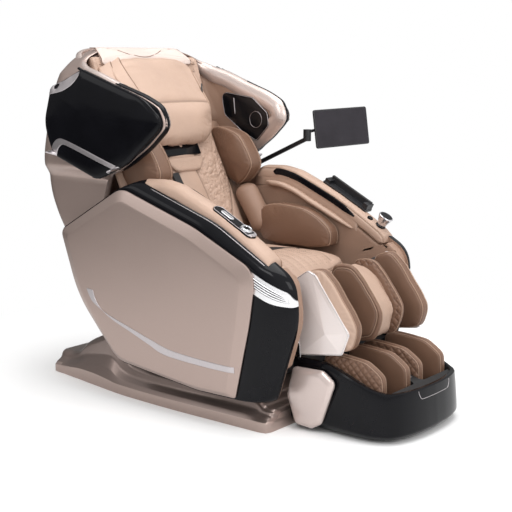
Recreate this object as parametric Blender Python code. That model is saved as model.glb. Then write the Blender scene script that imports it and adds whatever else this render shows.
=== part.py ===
"""Massage chair with a tilting seat body, a reclining back, a lifting leg rest and a tablet arm.

Metres, +Z up. The sitter faces -Y, so "left" is the sitter's left, at +X. The origin is on the
floor, in the mirror plane, under the base. Each moving group hangs on an empty that stands on
its joint's axis. Outlines are given as corners (a, b, radius) and drawn with rounded corners.
"""
import math

import bmesh
import bpy
from mathutils import Matrix, Vector

# ---------------------------------------------------------------- driving dimensions
SEAM = 0.0005            # gap between pieces that are fitted to each other
RUNNING = 0.0001         # radial clearance of a pin in its hole

# Joint axes, as (y, z): all three lie across the chair.
TILT = Vector((0.100, 0.170))
HIP = Vector((0.400, 0.450))
KNEE = Vector((-0.310, 0.475))

# Widths, from the middle of the chair outwards.
SEAT_HALF = 0.300        # clear half width between the arm linings
LINING_THICK = 0.0365
BAND_THICK = 0.0625
BAND_WALL = 0.018
PANEL_THICK = 0.0195
ARM_WIDTH = 0.0765
ARM_THICK = 0.046
LINING_X = SEAT_HALF + LINING_THICK
BAND_X = LINING_X + SEAM
BAND_OUT = BAND_X + BAND_THICK
PANEL_X = BAND_OUT + SEAM
PANEL_OUT = PANEL_X + PANEL_THICK
ARM_X = SEAT_HALF - 0.002
ARM_OUT = ARM_X + ARM_WIDTH

# Base
BASE_HALF = SEAT_HALF + 0.066    # half width of the floor flange
BASE_SHOULDER = 0.034    # how far the body stands in from the flange
BASE_DECK = 0.102        # height of the flat deck that carries the chassis
SHAFT_R = 0.012
WHEEL_R = 0.032
WHEEL_WIDTH = 0.030
WHEEL_X = 0.205
WHEEL_Y = 0.770
AXLE_R = 0.006
RAIL_X = 0.200           # chassis rails
RAIL_SIZE = 0.032

# Seat
SEAT_TOP = 0.497
SEAT_THICK = 0.1087
SEAT_FRONT = -0.226
SEAT_REAR = 0.235
CUSHION_HALF = SEAT_HALF - 0.038
HIP_PAD_THICK = 0.070
FRAME_X = SEAT_HALF - 0.034      # inner face of the seat frame's side rails
FRAME_THICK = 0.020
FRAME_Z = 0.362

# Back
BACK_HALF = LINING_X - 0.0055    # lower shell, which passes between the side bands
WING_FRONT_X = SEAT_HALF + 0.050 # outer face of the wing at its tip
WING_FLARE = 0.050       # how much wider it gets for each metre rearwards
WING_TIP_Y = 0.146
SHELL_WALL = 0.026
SHELL_CORNER = 0.090     # depth of the rounded rear corners
HEAD_LINING = 0.012
LINING_GAP = 0.0065
BACK_LEAN = math.radians(25.3)
PAD_HALF = SEAT_HALF - 0.0685
PAD_THICK = 0.055
PAD_GROOVE_X = 0.078
PILLOW_HALF = 0.207      # half width of the head pillow at ear height
PILLOW_PIN = Vector((0.592, 1.184))
RAIL_PLATE_X = 0.150     # inner face of the roller track's side plates
RAIL_PLATE_THICK = 0.006
CARRIAGE_START = 0.170   # carriage centre along the track, from the hip
SHAFT_SET = 0.076        # kneading shaft in front of the hip's line
ARM_REACH = 0.070        # rollers above and below the kneading shaft
ARM_SET = 0.012          # rollers in front of the kneading shaft
ROLLER_R = 0.022
ROLLER_WIDTH = 0.030

# Leg rest: everything is laid out from the knee along the shin and away from it.
SHIN_LEAN = math.radians(9.4)
DIVIDER_HALF = 0.083
CHANNEL = 0.094
CALF_PAD = 0.058
CALF_SHELL = 0.014
CALF_PAD_X = DIVIDER_HALF + CHANNEL
CALF_SHELL_X = CALF_PAD_X + CALF_PAD + SEAM
CALF_OUT = CALF_SHELL_X + CALF_SHELL
SHIN_PLATE = (0.018, 0.038)      # rear and front face of the shin plate
SHIN_PLATE_LENGTH = 0.215
ROD_R = 0.008
ROD_X = 0.120
ROD_SET = 0.006
KNEE_PIN_R = 0.010

# Foot box
FOOT_FLOOR = 0.010
FOOT_RIM_FRONT = 0.165
FOOT_RIM_REAR = 0.238
WELL_IN = 0.022
WELL_OUT = 0.205
WELL_FLOOR = 0.034
WELL_FRONT = -0.656
WELL_REAR = -0.404
FOOT_PAD_THICK = 0.042
FOOT_SHAFT = Vector((-0.520, 0.060))
FOOT_SHAFT_R = 0.006
FOOT_ROLLER_R = 0.022

# Tablet arm
POST = Vector((PANEL_OUT + 0.0005, 0.430, 0.742))
ELBOW = Vector((POST.x, 0.108, 0.909))
TABLET_SIZE = (0.285, 0.150, 0.008)
TABLET_CENTRE = Vector((POST.x + 0.148, 0.048, 0.938))
TABLET_TURN = (Matrix.Rotation(math.radians(-12.5), 4, "Z")
               @ Matrix.Rotation(math.radians(-1.5), 4, "Y")
               @ Matrix.Rotation(math.radians(-8), 4, "X"))
LINK_FLANGE = TABLET_CENTRE + TABLET_TURN @ Vector((-0.110, TABLET_SIZE[2] / 2 + SEAM, 0))
FLANGE_R = 0.017
FLANGE_THICK = 0.006

# Controls on the right armrest: lengths along the arm, from the middle of the plate.
CONTROL_Y = -0.150
CONTROL_LENGTH = 0.188
CONTROL_WIDTH = 0.046
CONTROL_THICK = 0.010
DIAL_R = 0.0205
DIAL_ALONG = -0.052
BUTTON_ALONG = 0.036
DOME_Y = -0.284
DOME_X = ARM_X + 0.040
DOME_FOOT_R = 0.0150
CRADLE_Y = -0.118
CRADLE_X = ARM_X + 0.066

# Outlines of the side assembly, as (y, z, radius). The corners of both match one to one.
PANEL_EDGE = [
    (0.612, 0.590, 0.03), (0.300, 0.766, 0.09), (-0.030, 0.660, 0.50),
    (-0.292, 0.540, 0.08), (-0.264, 0.360, 0.50), (-0.207, 0.112, 0.012),
    (-0.040, 0.111, 0.40), (0.335, 0.152, 0.12), (0.530, 0.362, 0.40),
]
PANEL_FACE = [
    (0.572, 0.577, 0.03), (0.298, 0.726, 0.08), (-0.020, 0.622, 0.50),
    (-0.240, 0.514, 0.07), (-0.218, 0.350, 0.50), (-0.178, 0.127, 0.012),
    (-0.030, 0.126, 0.40), (0.325, 0.167, 0.12), (0.502, 0.366, 0.40),
]
BAND_EDGE = [
    (0.622, 0.590, 0.03), (0.235, 0.803, 0.09), (-0.140, 0.676, 0.50),
    (-0.402, 0.520, 0.10), (-0.420, 0.385, 0.40), (-0.330, 0.104, 0.05),
    (-0.040, 0.106, 0.40), (0.338, 0.147, 0.12), (0.537, 0.358, 0.40),
]
LINING_EDGE = [
    (0.345, 0.705, 0.03), (0.150, 0.735, 0.10), (-0.020, 0.685, 0.30),
    (-0.180, 0.612, 0.30), (-0.318, 0.528, 0.01), (-0.338, 0.551, 0.01),
    (-0.390, 0.512, 0.07), (-0.412, 0.385, 0.30), (-0.358, 0.215, 0.05),
    (-0.290, 0.200, 0.05), (0.000, 0.300, 0.20), (0.345, 0.300, 0.04),
]
LAMP_EDGE = [
    (-0.215, 0.566, 0.004), (-0.394, 0.482, 0.03), (-0.425, 0.430, 0.02),
    (-0.340, 0.441, 0.20), (-0.262, 0.474, 0.02),
]
# Top of the armrest, as (y, z), from the rear to the front.
ARM_LINE = [
    (0.262, 0.778), (0.236, 0.794), (0.150, 0.797), (0.080, 0.783), (-0.020, 0.742),
    (-0.100, 0.706), (-0.180, 0.664), (-0.250, 0.622), (-0.300, 0.590), (-0.320, 0.572),
]
WING_EDGE = [
    (0.128, 0.990, 0.05), (0.300, 0.846, 0.15), (0.445, 0.780, 0.08), (0.664, 0.862, 0.07),
    (0.704, 0.975, 0.12), (0.664, 1.106, 0.03), (0.600, 1.128, 0.04), (0.510, 1.168, 0.02),
    (0.230, 1.072, 0.20),
]
SPEAKER_EDGE = [
    (0.458, 1.078, 0.03), (0.290, 1.058, 0.05), (0.212, 1.000, 0.03), (0.205, 0.950, 0.03),
    (0.268, 0.888, 0.02), (0.345, 0.922, 0.05), (0.438, 0.985, 0.03),
]
# Front of the back pad, as (y, z), from the seat up.
PAD_LINE = [
    (0.236, 0.522), (0.256, 0.570), (0.281, 0.625), (0.311, 0.690), (0.342, 0.755),
    (0.371, 0.815), (0.402, 0.877), (0.429, 0.935), (0.453, 0.985), (0.480, 1.040),
    (0.508, 1.095), (0.534, 1.142),
]
# Back shell, as (z, front edge y, rear y, half width in front, half width at the rear).
# Where a half width is None, the level follows the plane of the wings.
SHELL_LEVELS = [
    (0.470, 0.505, 0.668, BACK_HALF, BACK_HALF), (0.560, 0.495, 0.722, BACK_HALF, BACK_HALF),
    (0.650, 0.478, 0.776, BACK_HALF, BACK_HALF), (0.720, 0.458, 0.803, BACK_HALF, BACK_HALF),
    (0.775, 0.440, 0.811, BACK_HALF, BACK_HALF),
    (0.796, 0.420, 0.810, BACK_HALF + 0.015, BACK_HALF + 0.011),
    (0.820, 0.350, 0.805, None, BACK_HALF + 0.029), (0.868, 0.272, 0.794, None, BACK_HALF + 0.038),
    (0.925, 0.195, 0.778, None, BACK_HALF + 0.042), (0.985, 0.146, 0.759, None, None),
    (1.035, 0.165, 0.745, None, None), (1.066, 0.218, 0.735, None, None),
    (1.110, 0.345, 0.716, None, None), (1.148, 0.450, 0.703, None, BACK_HALF + 0.036),
    (1.172, 0.530, 0.697, BACK_HALF + 0.020, BACK_HALF + 0.014),
    (1.200, 0.575, 0.690, BACK_HALF - 0.018, BACK_HALF - 0.022),
    (1.225, 0.590, 0.679, BACK_HALF - 0.078, BACK_HALF - 0.080),
    (1.243, 0.605, 0.668, BACK_HALF - 0.156, BACK_HALF - 0.156),
]
LINING_LEVELS = slice(6, 15)     # the levels that the head lining covers
HOOD_LEVELS = slice(15, 18)      # the levels that the hood panel covers
CALF_EDGE = [(-0.352, 0.535, 0.03), (-0.424, 0.547, 0.04), (-0.562, 0.362, 0.05),
             (-0.547, 0.279, 0.03)]
DIVIDER_EDGE = [(-0.356, 0.536, 0.03), (-0.440, 0.536, 0.05), (-0.558, 0.385, 0.05),
                (-0.530, 0.284, 0.03)]
BLOCK_EDGE = [(-0.350, 0.506, 0.03), (-0.392, 0.500, 0.05), (-0.496, 0.385, 0.05),
              (-0.474, 0.286, 0.03)]
CALF_SHELL_EDGE = [
    (-0.326, 0.500, 0.02), (-0.376, 0.534, 0.02), (-0.408, 0.520, 0.02), (-0.540, 0.345, 0.02),
    (-0.512, 0.272, 0.02), (-0.345, 0.248, 0.01),
]
CALF_SHELL_FACE = [
    (-0.334, 0.488, 0.02), (-0.368, 0.520, 0.02), (-0.386, 0.494, 0.02), (-0.472, 0.338, 0.02),
    (-0.468, 0.280, 0.02), (-0.352, 0.256, 0.01),
]
FOOT_PAD_EDGE = [
    (-0.412, 0.070, 0.01), (-0.412, 0.252, 0.02), (-0.450, 0.263, 0.03), (-0.575, 0.252, 0.04),
    (-0.641, 0.212, 0.03), (-0.641, 0.070, 0.01),
]
FOOT_COVER_EDGE = [
    (-0.334, 0.212, 0.01), (-0.452, 0.216, 0.02), (-0.500, 0.182, 0.01), (-0.448, 0.036, 0.02),
    (-0.410, 0.014, 0.01), (-0.344, 0.018, 0.01), (-0.309, 0.112, 0.01),
]
# Plan of the foot box, right half from the rear to the middle of the front, as (x, y).
FOOT_PLAN = [
    (0.246, -0.316), (0.250, -0.450), (0.250, -0.560), (0.243, -0.620), (0.222, -0.668),
    (0.190, -0.697), (0.136, -0.716), (0.070, -0.726), (0.000, -0.729),
]

# Finishes: colour, roughness, metallic
CHAMPAGNE = ((0.56, 0.46, 0.41), 0.28, 0.75)
GLOSS_BLACK = ((0.012, 0.012, 0.015), 0.08, 0.0)
SATIN_BLACK = ((0.020, 0.020, 0.022), 0.40, 0.0)
TAN = ((0.62, 0.42, 0.29), 0.45, 0.0)
BROWN = ((0.22, 0.12, 0.07), 0.42, 0.0)
CREAM = ((0.74, 0.54, 0.40), 0.45, 0.0)
CHROME = ((0.80, 0.80, 0.82), 0.12, 1.0)
STEEL = ((0.35, 0.35, 0.37), 0.38, 0.9)
RUBBER = ((0.03, 0.03, 0.03), 0.70, 0.0)
LENS = ((0.80, 0.82, 0.85), 0.10, 0.2)
SCREEN = ((0.045, 0.042, 0.050), 0.12, 0.0)

RIGHT, LEFT = -1, 1
SIDES = ((RIGHT, "right"), (LEFT, "left"))
BODIES = {}


# ---------------------------------------------------------------- drawing helpers
def rounded(corners, steps=3):
    """Points of a closed outline whose corners are (a, b, radius)."""
    points = []
    for index, (a, b, radius) in enumerate(corners):
        corner = Vector((a, b))
        before = Vector(corners[index - 1][:2]) - corner
        after = Vector(corners[(index + 1) % len(corners)][:2]) - corner
        reach = radius / math.tan(before.angle(after) / 2)
        reach = min(reach, 0.48 * before.length, 0.48 * after.length)
        start = corner + before.normalized() * reach
        end = corner + after.normalized() * reach
        for step in range(steps + 1):
            t = step / steps
            points.append(start * (1 - t) ** 2 + corner * 2 * t * (1 - t) + end * t * t)
    return points


def inset(points, distance):
    """Move every point of a closed outline towards its inside."""
    area = sum(p.x * q.y - q.x * p.y for p, q in zip(points, points[1:] + points[:1]))
    turn = 1 if area > 0 else -1
    moved = []
    for index, point in enumerate(points):
        along = (points[(index + 1) % len(points)] - points[index - 1]).normalized()
        moved.append(point + turn * distance * Vector((-along.y, along.x)))
    return moved


def scaled(points, factor):
    """Draw an outline towards its middle."""
    middle = sum(points, Vector((0, 0))) / len(points)
    return [middle + (point - middle) * factor for point in points]


def blend(first, second, share):
    return [p.lerp(q, share) for p, q in zip(first, second)]


def across(points, x, slope=0.0, slope_from=0.0):
    """Stand a (y, z) outline up at a distance x from the mirror plane."""
    return [Vector((x + slope * (p.x - slope_from), p.x, p.y)) for p in points]


def skin(rings, bridged=False):
    """A closed solid through rings with equal numbers of points.

    A bridged solid has mirror-symmetric rings, and its ends are closed from side to side.
    """
    mesh = bmesh.new()
    rows = [[mesh.verts.new(point) for point in ring] for ring in rings]
    count = len(rows[0])
    for low, high in zip(rows, rows[1:]):
        for index in range(count):
            other = (index + 1) % count
            mesh.faces.new((low[index], low[other], high[other], high[index]))
    for row in (rows[0], rows[-1]):
        if bridged:
            for index in range(count // 2):
                strip = [row[index], row[index + 1], row[-2 - index], row[-1 - index]]
                mesh.faces.new(list(dict.fromkeys(strip)))
        else:
            mesh.faces.new(row)
    bmesh.ops.recalc_face_normals(mesh, faces=mesh.faces)
    return mesh


def rod(start, end, radius, segments=12):
    """A round bar between two points."""
    start, end = Vector(start), Vector(end)
    along = end - start
    turn = along.to_track_quat("Z", "Y").to_matrix().to_4x4()
    mesh = bmesh.new()
    bmesh.ops.create_cone(mesh, cap_ends=True, segments=segments, radius1=radius,
                          radius2=radius, depth=along.length,
                          matrix=Matrix.Translation((start + end) / 2) @ turn)
    return mesh


def bore(start, end, radius, segments=12):
    """A cutter for a round hole in which a pin of the given radius turns freely."""
    return rod(start, end, (radius + RUNNING) / math.cos(math.pi / segments), segments)


def box(low, high):
    mesh = bmesh.new()
    low, high = Vector(low), Vector(high)
    size = Matrix.Diagonal((*(high - low), 1))
    bmesh.ops.create_cube(mesh, size=1, matrix=Matrix.Translation((low + high) / 2) @ size)
    return mesh


def strap(path, depth, x_low, x_high):
    """A flat bar along a path of (y, z) points, a little past its ends, between two x planes."""
    path = [Vector(point) for point in path]
    path[0] += (path[0] - path[1]).normalized() * 0.17 * depth
    path[-1] += (path[-1] - path[-2]).normalized() * 0.17 * depth
    upper, lower = [], []
    for index, point in enumerate(path):
        before = point - path[index - 1] if index else path[1] - point
        after = path[index + 1] - point if index + 1 < len(path) else before
        along = (before.normalized() + after.normalized()).normalized()
        reach = depth / 2 / along.dot(before.normalized())
        aside = Vector((-along.y, along.x)) * reach
        upper.append(point + aside)
        lower.append(point - aside)
    outline = upper + lower[::-1]
    return skin([across(outline, x_low), across(outline, x_high)])


def mirrored(mesh):
    """Flip a mesh to the other side of the mirror plane, still facing out."""
    bmesh.ops.scale(mesh, vec=(-1, 1, 1), verts=mesh.verts)
    bmesh.ops.reverse_faces(mesh, faces=mesh.faces)
    return mesh


def material(name, finish):
    colour, roughness, metallic = finish
    made = bpy.data.materials.new(name)
    made.use_nodes = True
    shader = made.node_tree.nodes["Principled BSDF"]
    shader.inputs["Base Color"].default_value = (*colour, 1)
    shader.inputs["Roughness"].default_value = roughness
    shader.inputs["Metallic"].default_value = metallic
    made.diffuse_color = (*colour, 1)
    return made


def solid(name, mesh, finish, body):
    """Turn a bmesh into a named object that hangs on its body's empty."""
    data = bpy.data.meshes.new(name)
    mesh.to_mesh(data)
    mesh.free()
    made = bpy.data.objects.new(name, data)
    bpy.context.collection.objects.link(made)
    data.materials.append(material(name, finish))
    data.shade_smooth()
    data.set_sharp_from_angle(angle=math.radians(32))
    pivot = BODIES[body]
    made.parent = pivot
    made.matrix_parent_inverse = Matrix.Translation(-pivot.location)
    return made


def work(target, operation, *tools):
    """Add, cut or intersect meshes on a named piece, and keep the result as its mesh."""
    helpers = []
    for tool in tools:
        data = bpy.data.meshes.new("tool")
        tool.to_mesh(data)
        tool.free()
        helper = bpy.data.objects.new("tool", data)
        bpy.context.collection.objects.link(helper)
        modifier = target.modifiers.new(operation, "BOOLEAN")
        modifier.operation = operation
        modifier.object = helper
        helpers.append(helper)
    bpy.context.view_layer.update()
    evaluated = target.evaluated_get(bpy.context.evaluated_depsgraph_get())
    result = bpy.data.meshes.new_from_object(evaluated)
    target.modifiers.clear()
    target.data = result
    for helper in helpers:
        bpy.data.objects.remove(helper)


def pivot_empty(body, location, parent=None):
    made = bpy.data.objects.new(body + "_pivot", None)
    bpy.context.collection.objects.link(made)
    made.location = location
    made.empty_display_size = 0.05
    BODIES[body] = made
    if parent:
        made["carried_by"] = parent


def cushion(outline, thick, crown, place, rings=3):
    """A stuffed pad: seams at both edges, sides that bulge between them, a crowned face.

    place(a, b, depth) puts a point of the pad in the chair; depth runs from 0 at the back
    to thick at the seam of the face, and past it on the crown.
    """
    rows = [(0.94, 0.0), (1.0, 0.16), (1.0, 0.84), (0.955, 1.0)]
    for step in range(rings):
        share = 1 - (step + 1) / (rings + 1)
        rows.append((share * 0.955, 1 + crown * (1 - share ** 2) / thick))
    return skin([[place(p.x, p.y, depth * thick) for p in scaled(outline, factor)]
                 for factor, depth in rows])


def shin(down, front):
    """A (y, z) point of the leg rest, given along the shin and away from it."""
    along = Vector((-math.sin(SHIN_LEAN), -math.cos(SHIN_LEAN)))
    away = Vector((-math.cos(SHIN_LEAN), math.sin(SHIN_LEAN)))
    return KNEE + along * down + away * front


def spine(up, front):
    """A (y, z) point of the back, given along the track and away from it."""
    along = Vector((math.sin(BACK_LEAN), math.cos(BACK_LEAN)))
    away = Vector((-math.cos(BACK_LEAN), math.sin(BACK_LEAN)))
    return HIP + along * up + away * front


def at(x, point):
    return Vector((x, point.x, point.y))


# ---------------------------------------------------------------- base
def base_shell():
    """The sculpted floor shell: flange, groove, flat deck and the raised block at the rear."""
    stations = [
        (-0.306, 0.340, 0.026, 0.056), (-0.296, 0.361, 0.032, 0.066),
        (-0.262, BASE_HALF, 0.034, 0.072), (-0.232, BASE_HALF, 0.034, 0.096),
        (-0.190, BASE_HALF, 0.034, BASE_DECK), (0.050, BASE_HALF, 0.034, BASE_DECK),
        (0.250, 0.360, 0.034, BASE_DECK), (0.350, 0.354, 0.035, BASE_DECK + 0.008),
        (0.415, 0.347, 0.037, 0.148), (0.450, 0.342, 0.040, 0.196),
        (0.475, 0.338, 0.042, 0.208), (0.555, 0.325, 0.046, 0.178),
        (0.640, 0.311, 0.044, 0.138), (0.700, 0.302, 0.038, 0.086),
        (0.745, 0.295, 0.032, 0.066), (0.800, 0.286, 0.028, 0.060),
        (0.812, 0.270, 0.022, 0.050),
    ]
    rings = []
    for y, half, flange, top in stations:
        body = half - BASE_SHOULDER
        rise = top - flange
        side = [(half, 0.0), (half, flange), (half - 0.012, flange + 0.22 * rise),
                (body, flange + 0.45 * rise), (body - 0.006, flange + 0.85 * rise),
                (body - 0.024, top)]
        ring = [Vector((x, y, z)) for x, z in side]
        ring += [Vector((-x, y, z)) for x, z in reversed(side)]
        rings.append(ring)
    shell = solid("base_shell", skin(rings), CHAMPAGNE, "base")
    room = AXLE_R + RUNNING
    half_well = WHEEL_WIDTH / 2 + 0.006
    cuts = [box((-WHEEL_X - 0.03, WHEEL_Y - room, -0.01),
                (WHEEL_X + 0.03, WHEEL_Y + room, WHEEL_R + 0.004 + room))]
    for side, _ in SIDES:
        middle = side * WHEEL_X
        cuts.append(box((middle - half_well, WHEEL_Y - WHEEL_R - 0.006, -0.01),
                        (middle + half_well, WHEEL_Y + WHEEL_R + 0.03, 0.09)))
    work(shell, "DIFFERENCE", *cuts)


def transport_wheels():
    """Two wheels on one axle, just off the floor until the chair is tipped back."""
    centre = WHEEL_R + 0.004
    axle = rod((-WHEEL_X, WHEEL_Y, centre), (WHEEL_X, WHEEL_Y, centre), AXLE_R, 12)
    wheelset = solid("transport_wheels", axle, RUBBER, "wheels")
    tools = []
    for side, _ in SIDES:
        x = side * WHEEL_X
        tools.append(rod((x - WHEEL_WIDTH / 2, WHEEL_Y, centre),
                         (x + WHEEL_WIDTH / 2, WHEEL_Y, centre), WHEEL_R, 24))
    work(wheelset, "UNION", *tools)


def base_chassis():
    """Welded steel frame on the deck, with the shaft that the seat body tilts on."""
    low = BASE_DECK + SEAM
    high = low + RAIL_SIZE
    front, rear = -0.150, 0.240
    frame = solid("base_chassis", box((RAIL_X, front, low), (RAIL_X + RAIL_SIZE, rear, high)),
                  STEEL, "base")
    half = RAIL_SIZE / 2
    shaft_end = RAIL_X + RAIL_SIZE + 0.032
    tools = [box((-RAIL_X - RAIL_SIZE, front, low), (-RAIL_X, rear, high))]
    for y in (front + half, rear - half):
        tools.append(box((-RAIL_X - half, y - half, low + 0.003),
                         (RAIL_X + half, y + half, high - 0.003)))
    for side, _ in SIDES:
        x = sorted((side * (RAIL_X + 0.004), side * (RAIL_X + 0.016)))
        lug = rounded([(TILT.x - 0.045, high - 0.01, 0.004), (TILT.x - 0.020, TILT.y + 0.02, 0.02),
                       (TILT.x + 0.020, TILT.y + 0.02, 0.02), (TILT.x + 0.045, high - 0.01, 0.004)])
        tools.append(skin([across(lug, x[0]), across(lug, x[1])]))
    tools.append(rod(at(-shaft_end, TILT), at(shaft_end, TILT), SHAFT_R))
    work(frame, "UNION", *tools)


# ---------------------------------------------------------------- seat body
def seat_frame():
    """Side rails from knee to hip, cross tubes, and the two hangers on the tilt shaft."""
    bend_front = Vector((-0.210, FRAME_Z))
    bend_rear = Vector((0.300, FRAME_Z))
    low, high = FRAME_X, FRAME_X + FRAME_THICK
    reach = SEAT_HALF - SEAM
    tubes = [rod((-reach, y, FRAME_Z), (reach, y, FRAME_Z), 0.014)
             for y in (bend_front.x, TILT.x, bend_rear.x - 0.010)]
    frame = solid("seat_frame", tubes[0], STEEL, "seat")
    tools = tubes[1:]
    for side, _ in SIDES:
        x = sorted((side * low, side * high))
        tools.append(strap((KNEE, bend_front, bend_rear, HIP), 0.036, *x))
        tools += [rod(at(x[0] + 0.001, spot), at(x[1] - 0.001, spot), radius, 14)
                  for spot, radius in ((KNEE, 0.024), (HIP, 0.030))]
        hanger = sorted((side * (RAIL_X + 0.018), side * (RAIL_X + 0.030)))
        foot = Vector((TILT.x, FRAME_Z))
        tools.append(strap((foot, TILT), 0.040, *hanger))
        tools.append(rod(at(hanger[0] + 0.001, TILT), at(hanger[1] - 0.001, TILT), 0.024, 14))
    work(frame, "UNION", *tools)
    holes = []
    for side, _ in SIDES:
        for spot, radius, reach in ((KNEE, KNEE_PIN_R, 0.05), (HIP, SHAFT_R, 0.05),
                                    (TILT, SHAFT_R, 0.10)):
            start, end = side * (high + 0.02), side * (high - reach)
            holes.append(bore(at(start, spot), at(end, spot), radius))
    work(frame, "DIFFERENCE", *holes)


def seat_cushion():
    """Stuffed seat: crowned, rolled down at the front, with a slot across the middle."""
    outline = rounded([(-CUSHION_HALF, SEAT_FRONT + 0.03, 0.06), (0.0, SEAT_FRONT - 0.012, 0.5),
                       (CUSHION_HALF, SEAT_FRONT + 0.03, 0.06), (CUSHION_HALF, SEAT_REAR, 0.03),
                       (-CUSHION_HALF, SEAT_REAR, 0.03)])

    def place(a, b, depth):
        roll = max(0.0, -0.150 - b)
        drop = 4.5 * roll ** 2 * max(depth, 0.0) / SEAT_THICK
        return Vector((a, b, SEAT_TOP - 0.012 - SEAT_THICK + depth - drop))

    solid("seat_cushion", cushion(outline, SEAT_THICK, 0.016, place, 4), CREAM, "seat")


def hip_cushions():
    """Piped side pads that close the seat on both sides."""
    outline = rounded([(-0.152, 0.514, 0.015), (-0.146, 0.588, 0.06), (0.000, 0.656, 0.12),
                       (0.175, 0.660, 0.05), (0.232, 0.610, 0.04), (0.190, 0.514, 0.02)])
    for side, word in SIDES:
        def place(a, b, depth):
            return Vector((side * (SEAT_HALF - SEAM - depth), a, b))
        solid("hip_cushion_" + word, cushion(outline, HIP_PAD_THICK, 0.010, place, 2),
              BROWN, "seat")


def arm_loft(grow=0.0):
    """The armrest: a bar with a crowned top that follows the arm line."""
    rings = []
    for index, (y, z) in enumerate(ARM_LINE):
        end = index in (0, len(ARM_LINE) - 1)
        thick = ARM_THICK * (0.62 if end else 1.0)
        low, high = ARM_X - grow, ARM_OUT + grow
        width = high - low
        profile = [(low, z - thick - grow), (low, z - 0.012), (low + 0.14 * width, z - 0.001 + grow),
                   (low + 0.5 * width, z + 0.003 + grow), (low + 0.86 * width, z - 0.002 + grow),
                   (high, z - 0.014), (high, z - thick - grow)]
        shift = (grow if index == 0 else -grow) if end else 0.0
        rings.append([Vector((px, y + shift, pz)) for px, pz in profile])
    return skin(rings)


def arm_slope(y):
    """Height and fall of the armrest's top at y."""
    for (y0, z0), (y1, z1) in zip(ARM_LINE, ARM_LINE[1:]):
        if y1 <= y <= y0:
            share = (y0 - y) / (y0 - y1)
            return z0 + (z1 - z0) * share, math.atan2(z0 - z1, y0 - y1)
    raise ValueError("y is not on the armrest")


def on_arm(y, side, x):
    """A frame on the armrest's top: first axis inwards, second to the rear, third up."""
    z, fall = arm_slope(y)
    turn = Matrix.Rotation(fall, 4, "X")
    return Matrix.Translation((side * x, y, z)) @ turn


def band_loft(sink=0.0):
    """The gloss side band: full outline inside, drawn in to the panel's edge outside."""
    edge = inset(rounded(BAND_EDGE), sink)
    seat = inset(rounded(PANEL_EDGE), -0.005 + sink)
    rings = []
    for step in range(5):
        t = math.radians(90) * step / 4
        x = BAND_OUT - sink - (BAND_OUT - BAND_X - sink) * (1 - math.cos(t))
        rings.append(across(blend(seat, edge, math.sin(t)), x))
    return rings


def side_body():
    """Panel, band, lamp and lining of each side, stacked outwards from the seat."""
    lamp_prism = rounded(LAMP_EDGE)
    for side, word in SIDES:
        flip = mirrored if side == RIGHT else (lambda mesh: mesh)

        rings = band_loft()
        hollow = inset(rounded(BAND_EDGE), BAND_WALL)
        floor = blend(inset(rounded(PANEL_EDGE), BAND_WALL * 0.6), hollow, 0.25)
        rings += [across(hollow, BAND_X), across(floor, BAND_OUT - BAND_WALL)]
        band = solid("side_band_" + word, flip(skin(rings)), GLOSS_BLACK, "seat")
        prism = [across(inset(lamp_prism, -SEAM), x) for x in (BAND_X - 0.02, BAND_OUT + 0.02)]
        work(band, "DIFFERENCE", flip(skin(prism)), flip(arm_loft(SEAM)))

        lamp = solid("side_lamp_" + word, flip(skin(rings)), LENS, "seat")
        prism = [across(lamp_prism, x) for x in (BAND_X - 0.02, BAND_OUT + 0.02)]
        work(lamp, "INTERSECT", flip(skin(prism)))

        edge, face = rounded(PANEL_EDGE), rounded(PANEL_FACE)
        rings = [across(inset(edge, 0.003), PANEL_X), across(edge, PANEL_X + 0.003),
                 across(edge, PANEL_X + 0.006), across(face, PANEL_OUT - 0.0015),
                 across(scaled(face, 0.88), PANEL_OUT)]
        solid("side_panel_" + word, flip(skin(rings)), CHAMPAGNE, "seat")

        edge = rounded(LINING_EDGE, 3)
        rings = [across(inset(edge, 0.004), SEAT_HALF), across(edge, SEAT_HALF + 0.006),
                 across(edge, LINING_X)]
        lining = solid("side_lining_" + word, flip(skin(rings)), TAN, "seat")
        work(lining, "DIFFERENCE", flip(arm_loft(SEAM)))


def armrests():
    for side, word in SIDES:
        mesh = arm_loft() if side == LEFT else mirrored(arm_loft())
        arm = solid("armrest_" + word, mesh, CREAM, "seat")
        if side == RIGHT:
            work(arm, "DIFFERENCE", control_plate(SEAM))
        else:
            spot = on_arm(DOME_Y, LEFT, DOME_X)
            work(arm, "DIFFERENCE", in_place(turned([(-0.008, DOME_FOOT_R + SEAM),
                                                     (0.020, DOME_FOOT_R + SEAM)]), spot),
                 in_place(box((-0.026, -0.112, -0.0045), (0.030, 0.112, 0.030)),
                          on_arm(CRADLE_Y, LEFT, CRADLE_X)))


def in_place(mesh, frame):
    bmesh.ops.transform(mesh, matrix=frame, verts=mesh.verts)
    return mesh


def turned(profile, segments=18):
    """A solid of revolution about Z from (height, radius) pairs."""
    return skin([[Vector((radius * math.cos(a), radius * math.sin(a), height))
                  for a in (2 * math.pi * k / segments for k in range(segments))]
                 for height, radius in profile])


def pill(length, width, low, high, edge=0.0):
    """A plate with round ends along Y, with its top edge eased."""
    half = length / 2 - width / 2
    outline = []
    for centre, start in ((half, 0.0), (-half, math.pi)):
        for step in range(9):
            angle = start + math.pi * step / 8
            outline.append(Vector((width / 2 * math.cos(angle),
                                   centre + width / 2 * math.sin(angle))))
    rings = [(outline, low), (outline, high - edge)]
    if edge:
        rings.append((inset(outline, edge), high))
    return skin([[Vector((p.x, p.y, z)) for p in points] for points, z in rings])


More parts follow.
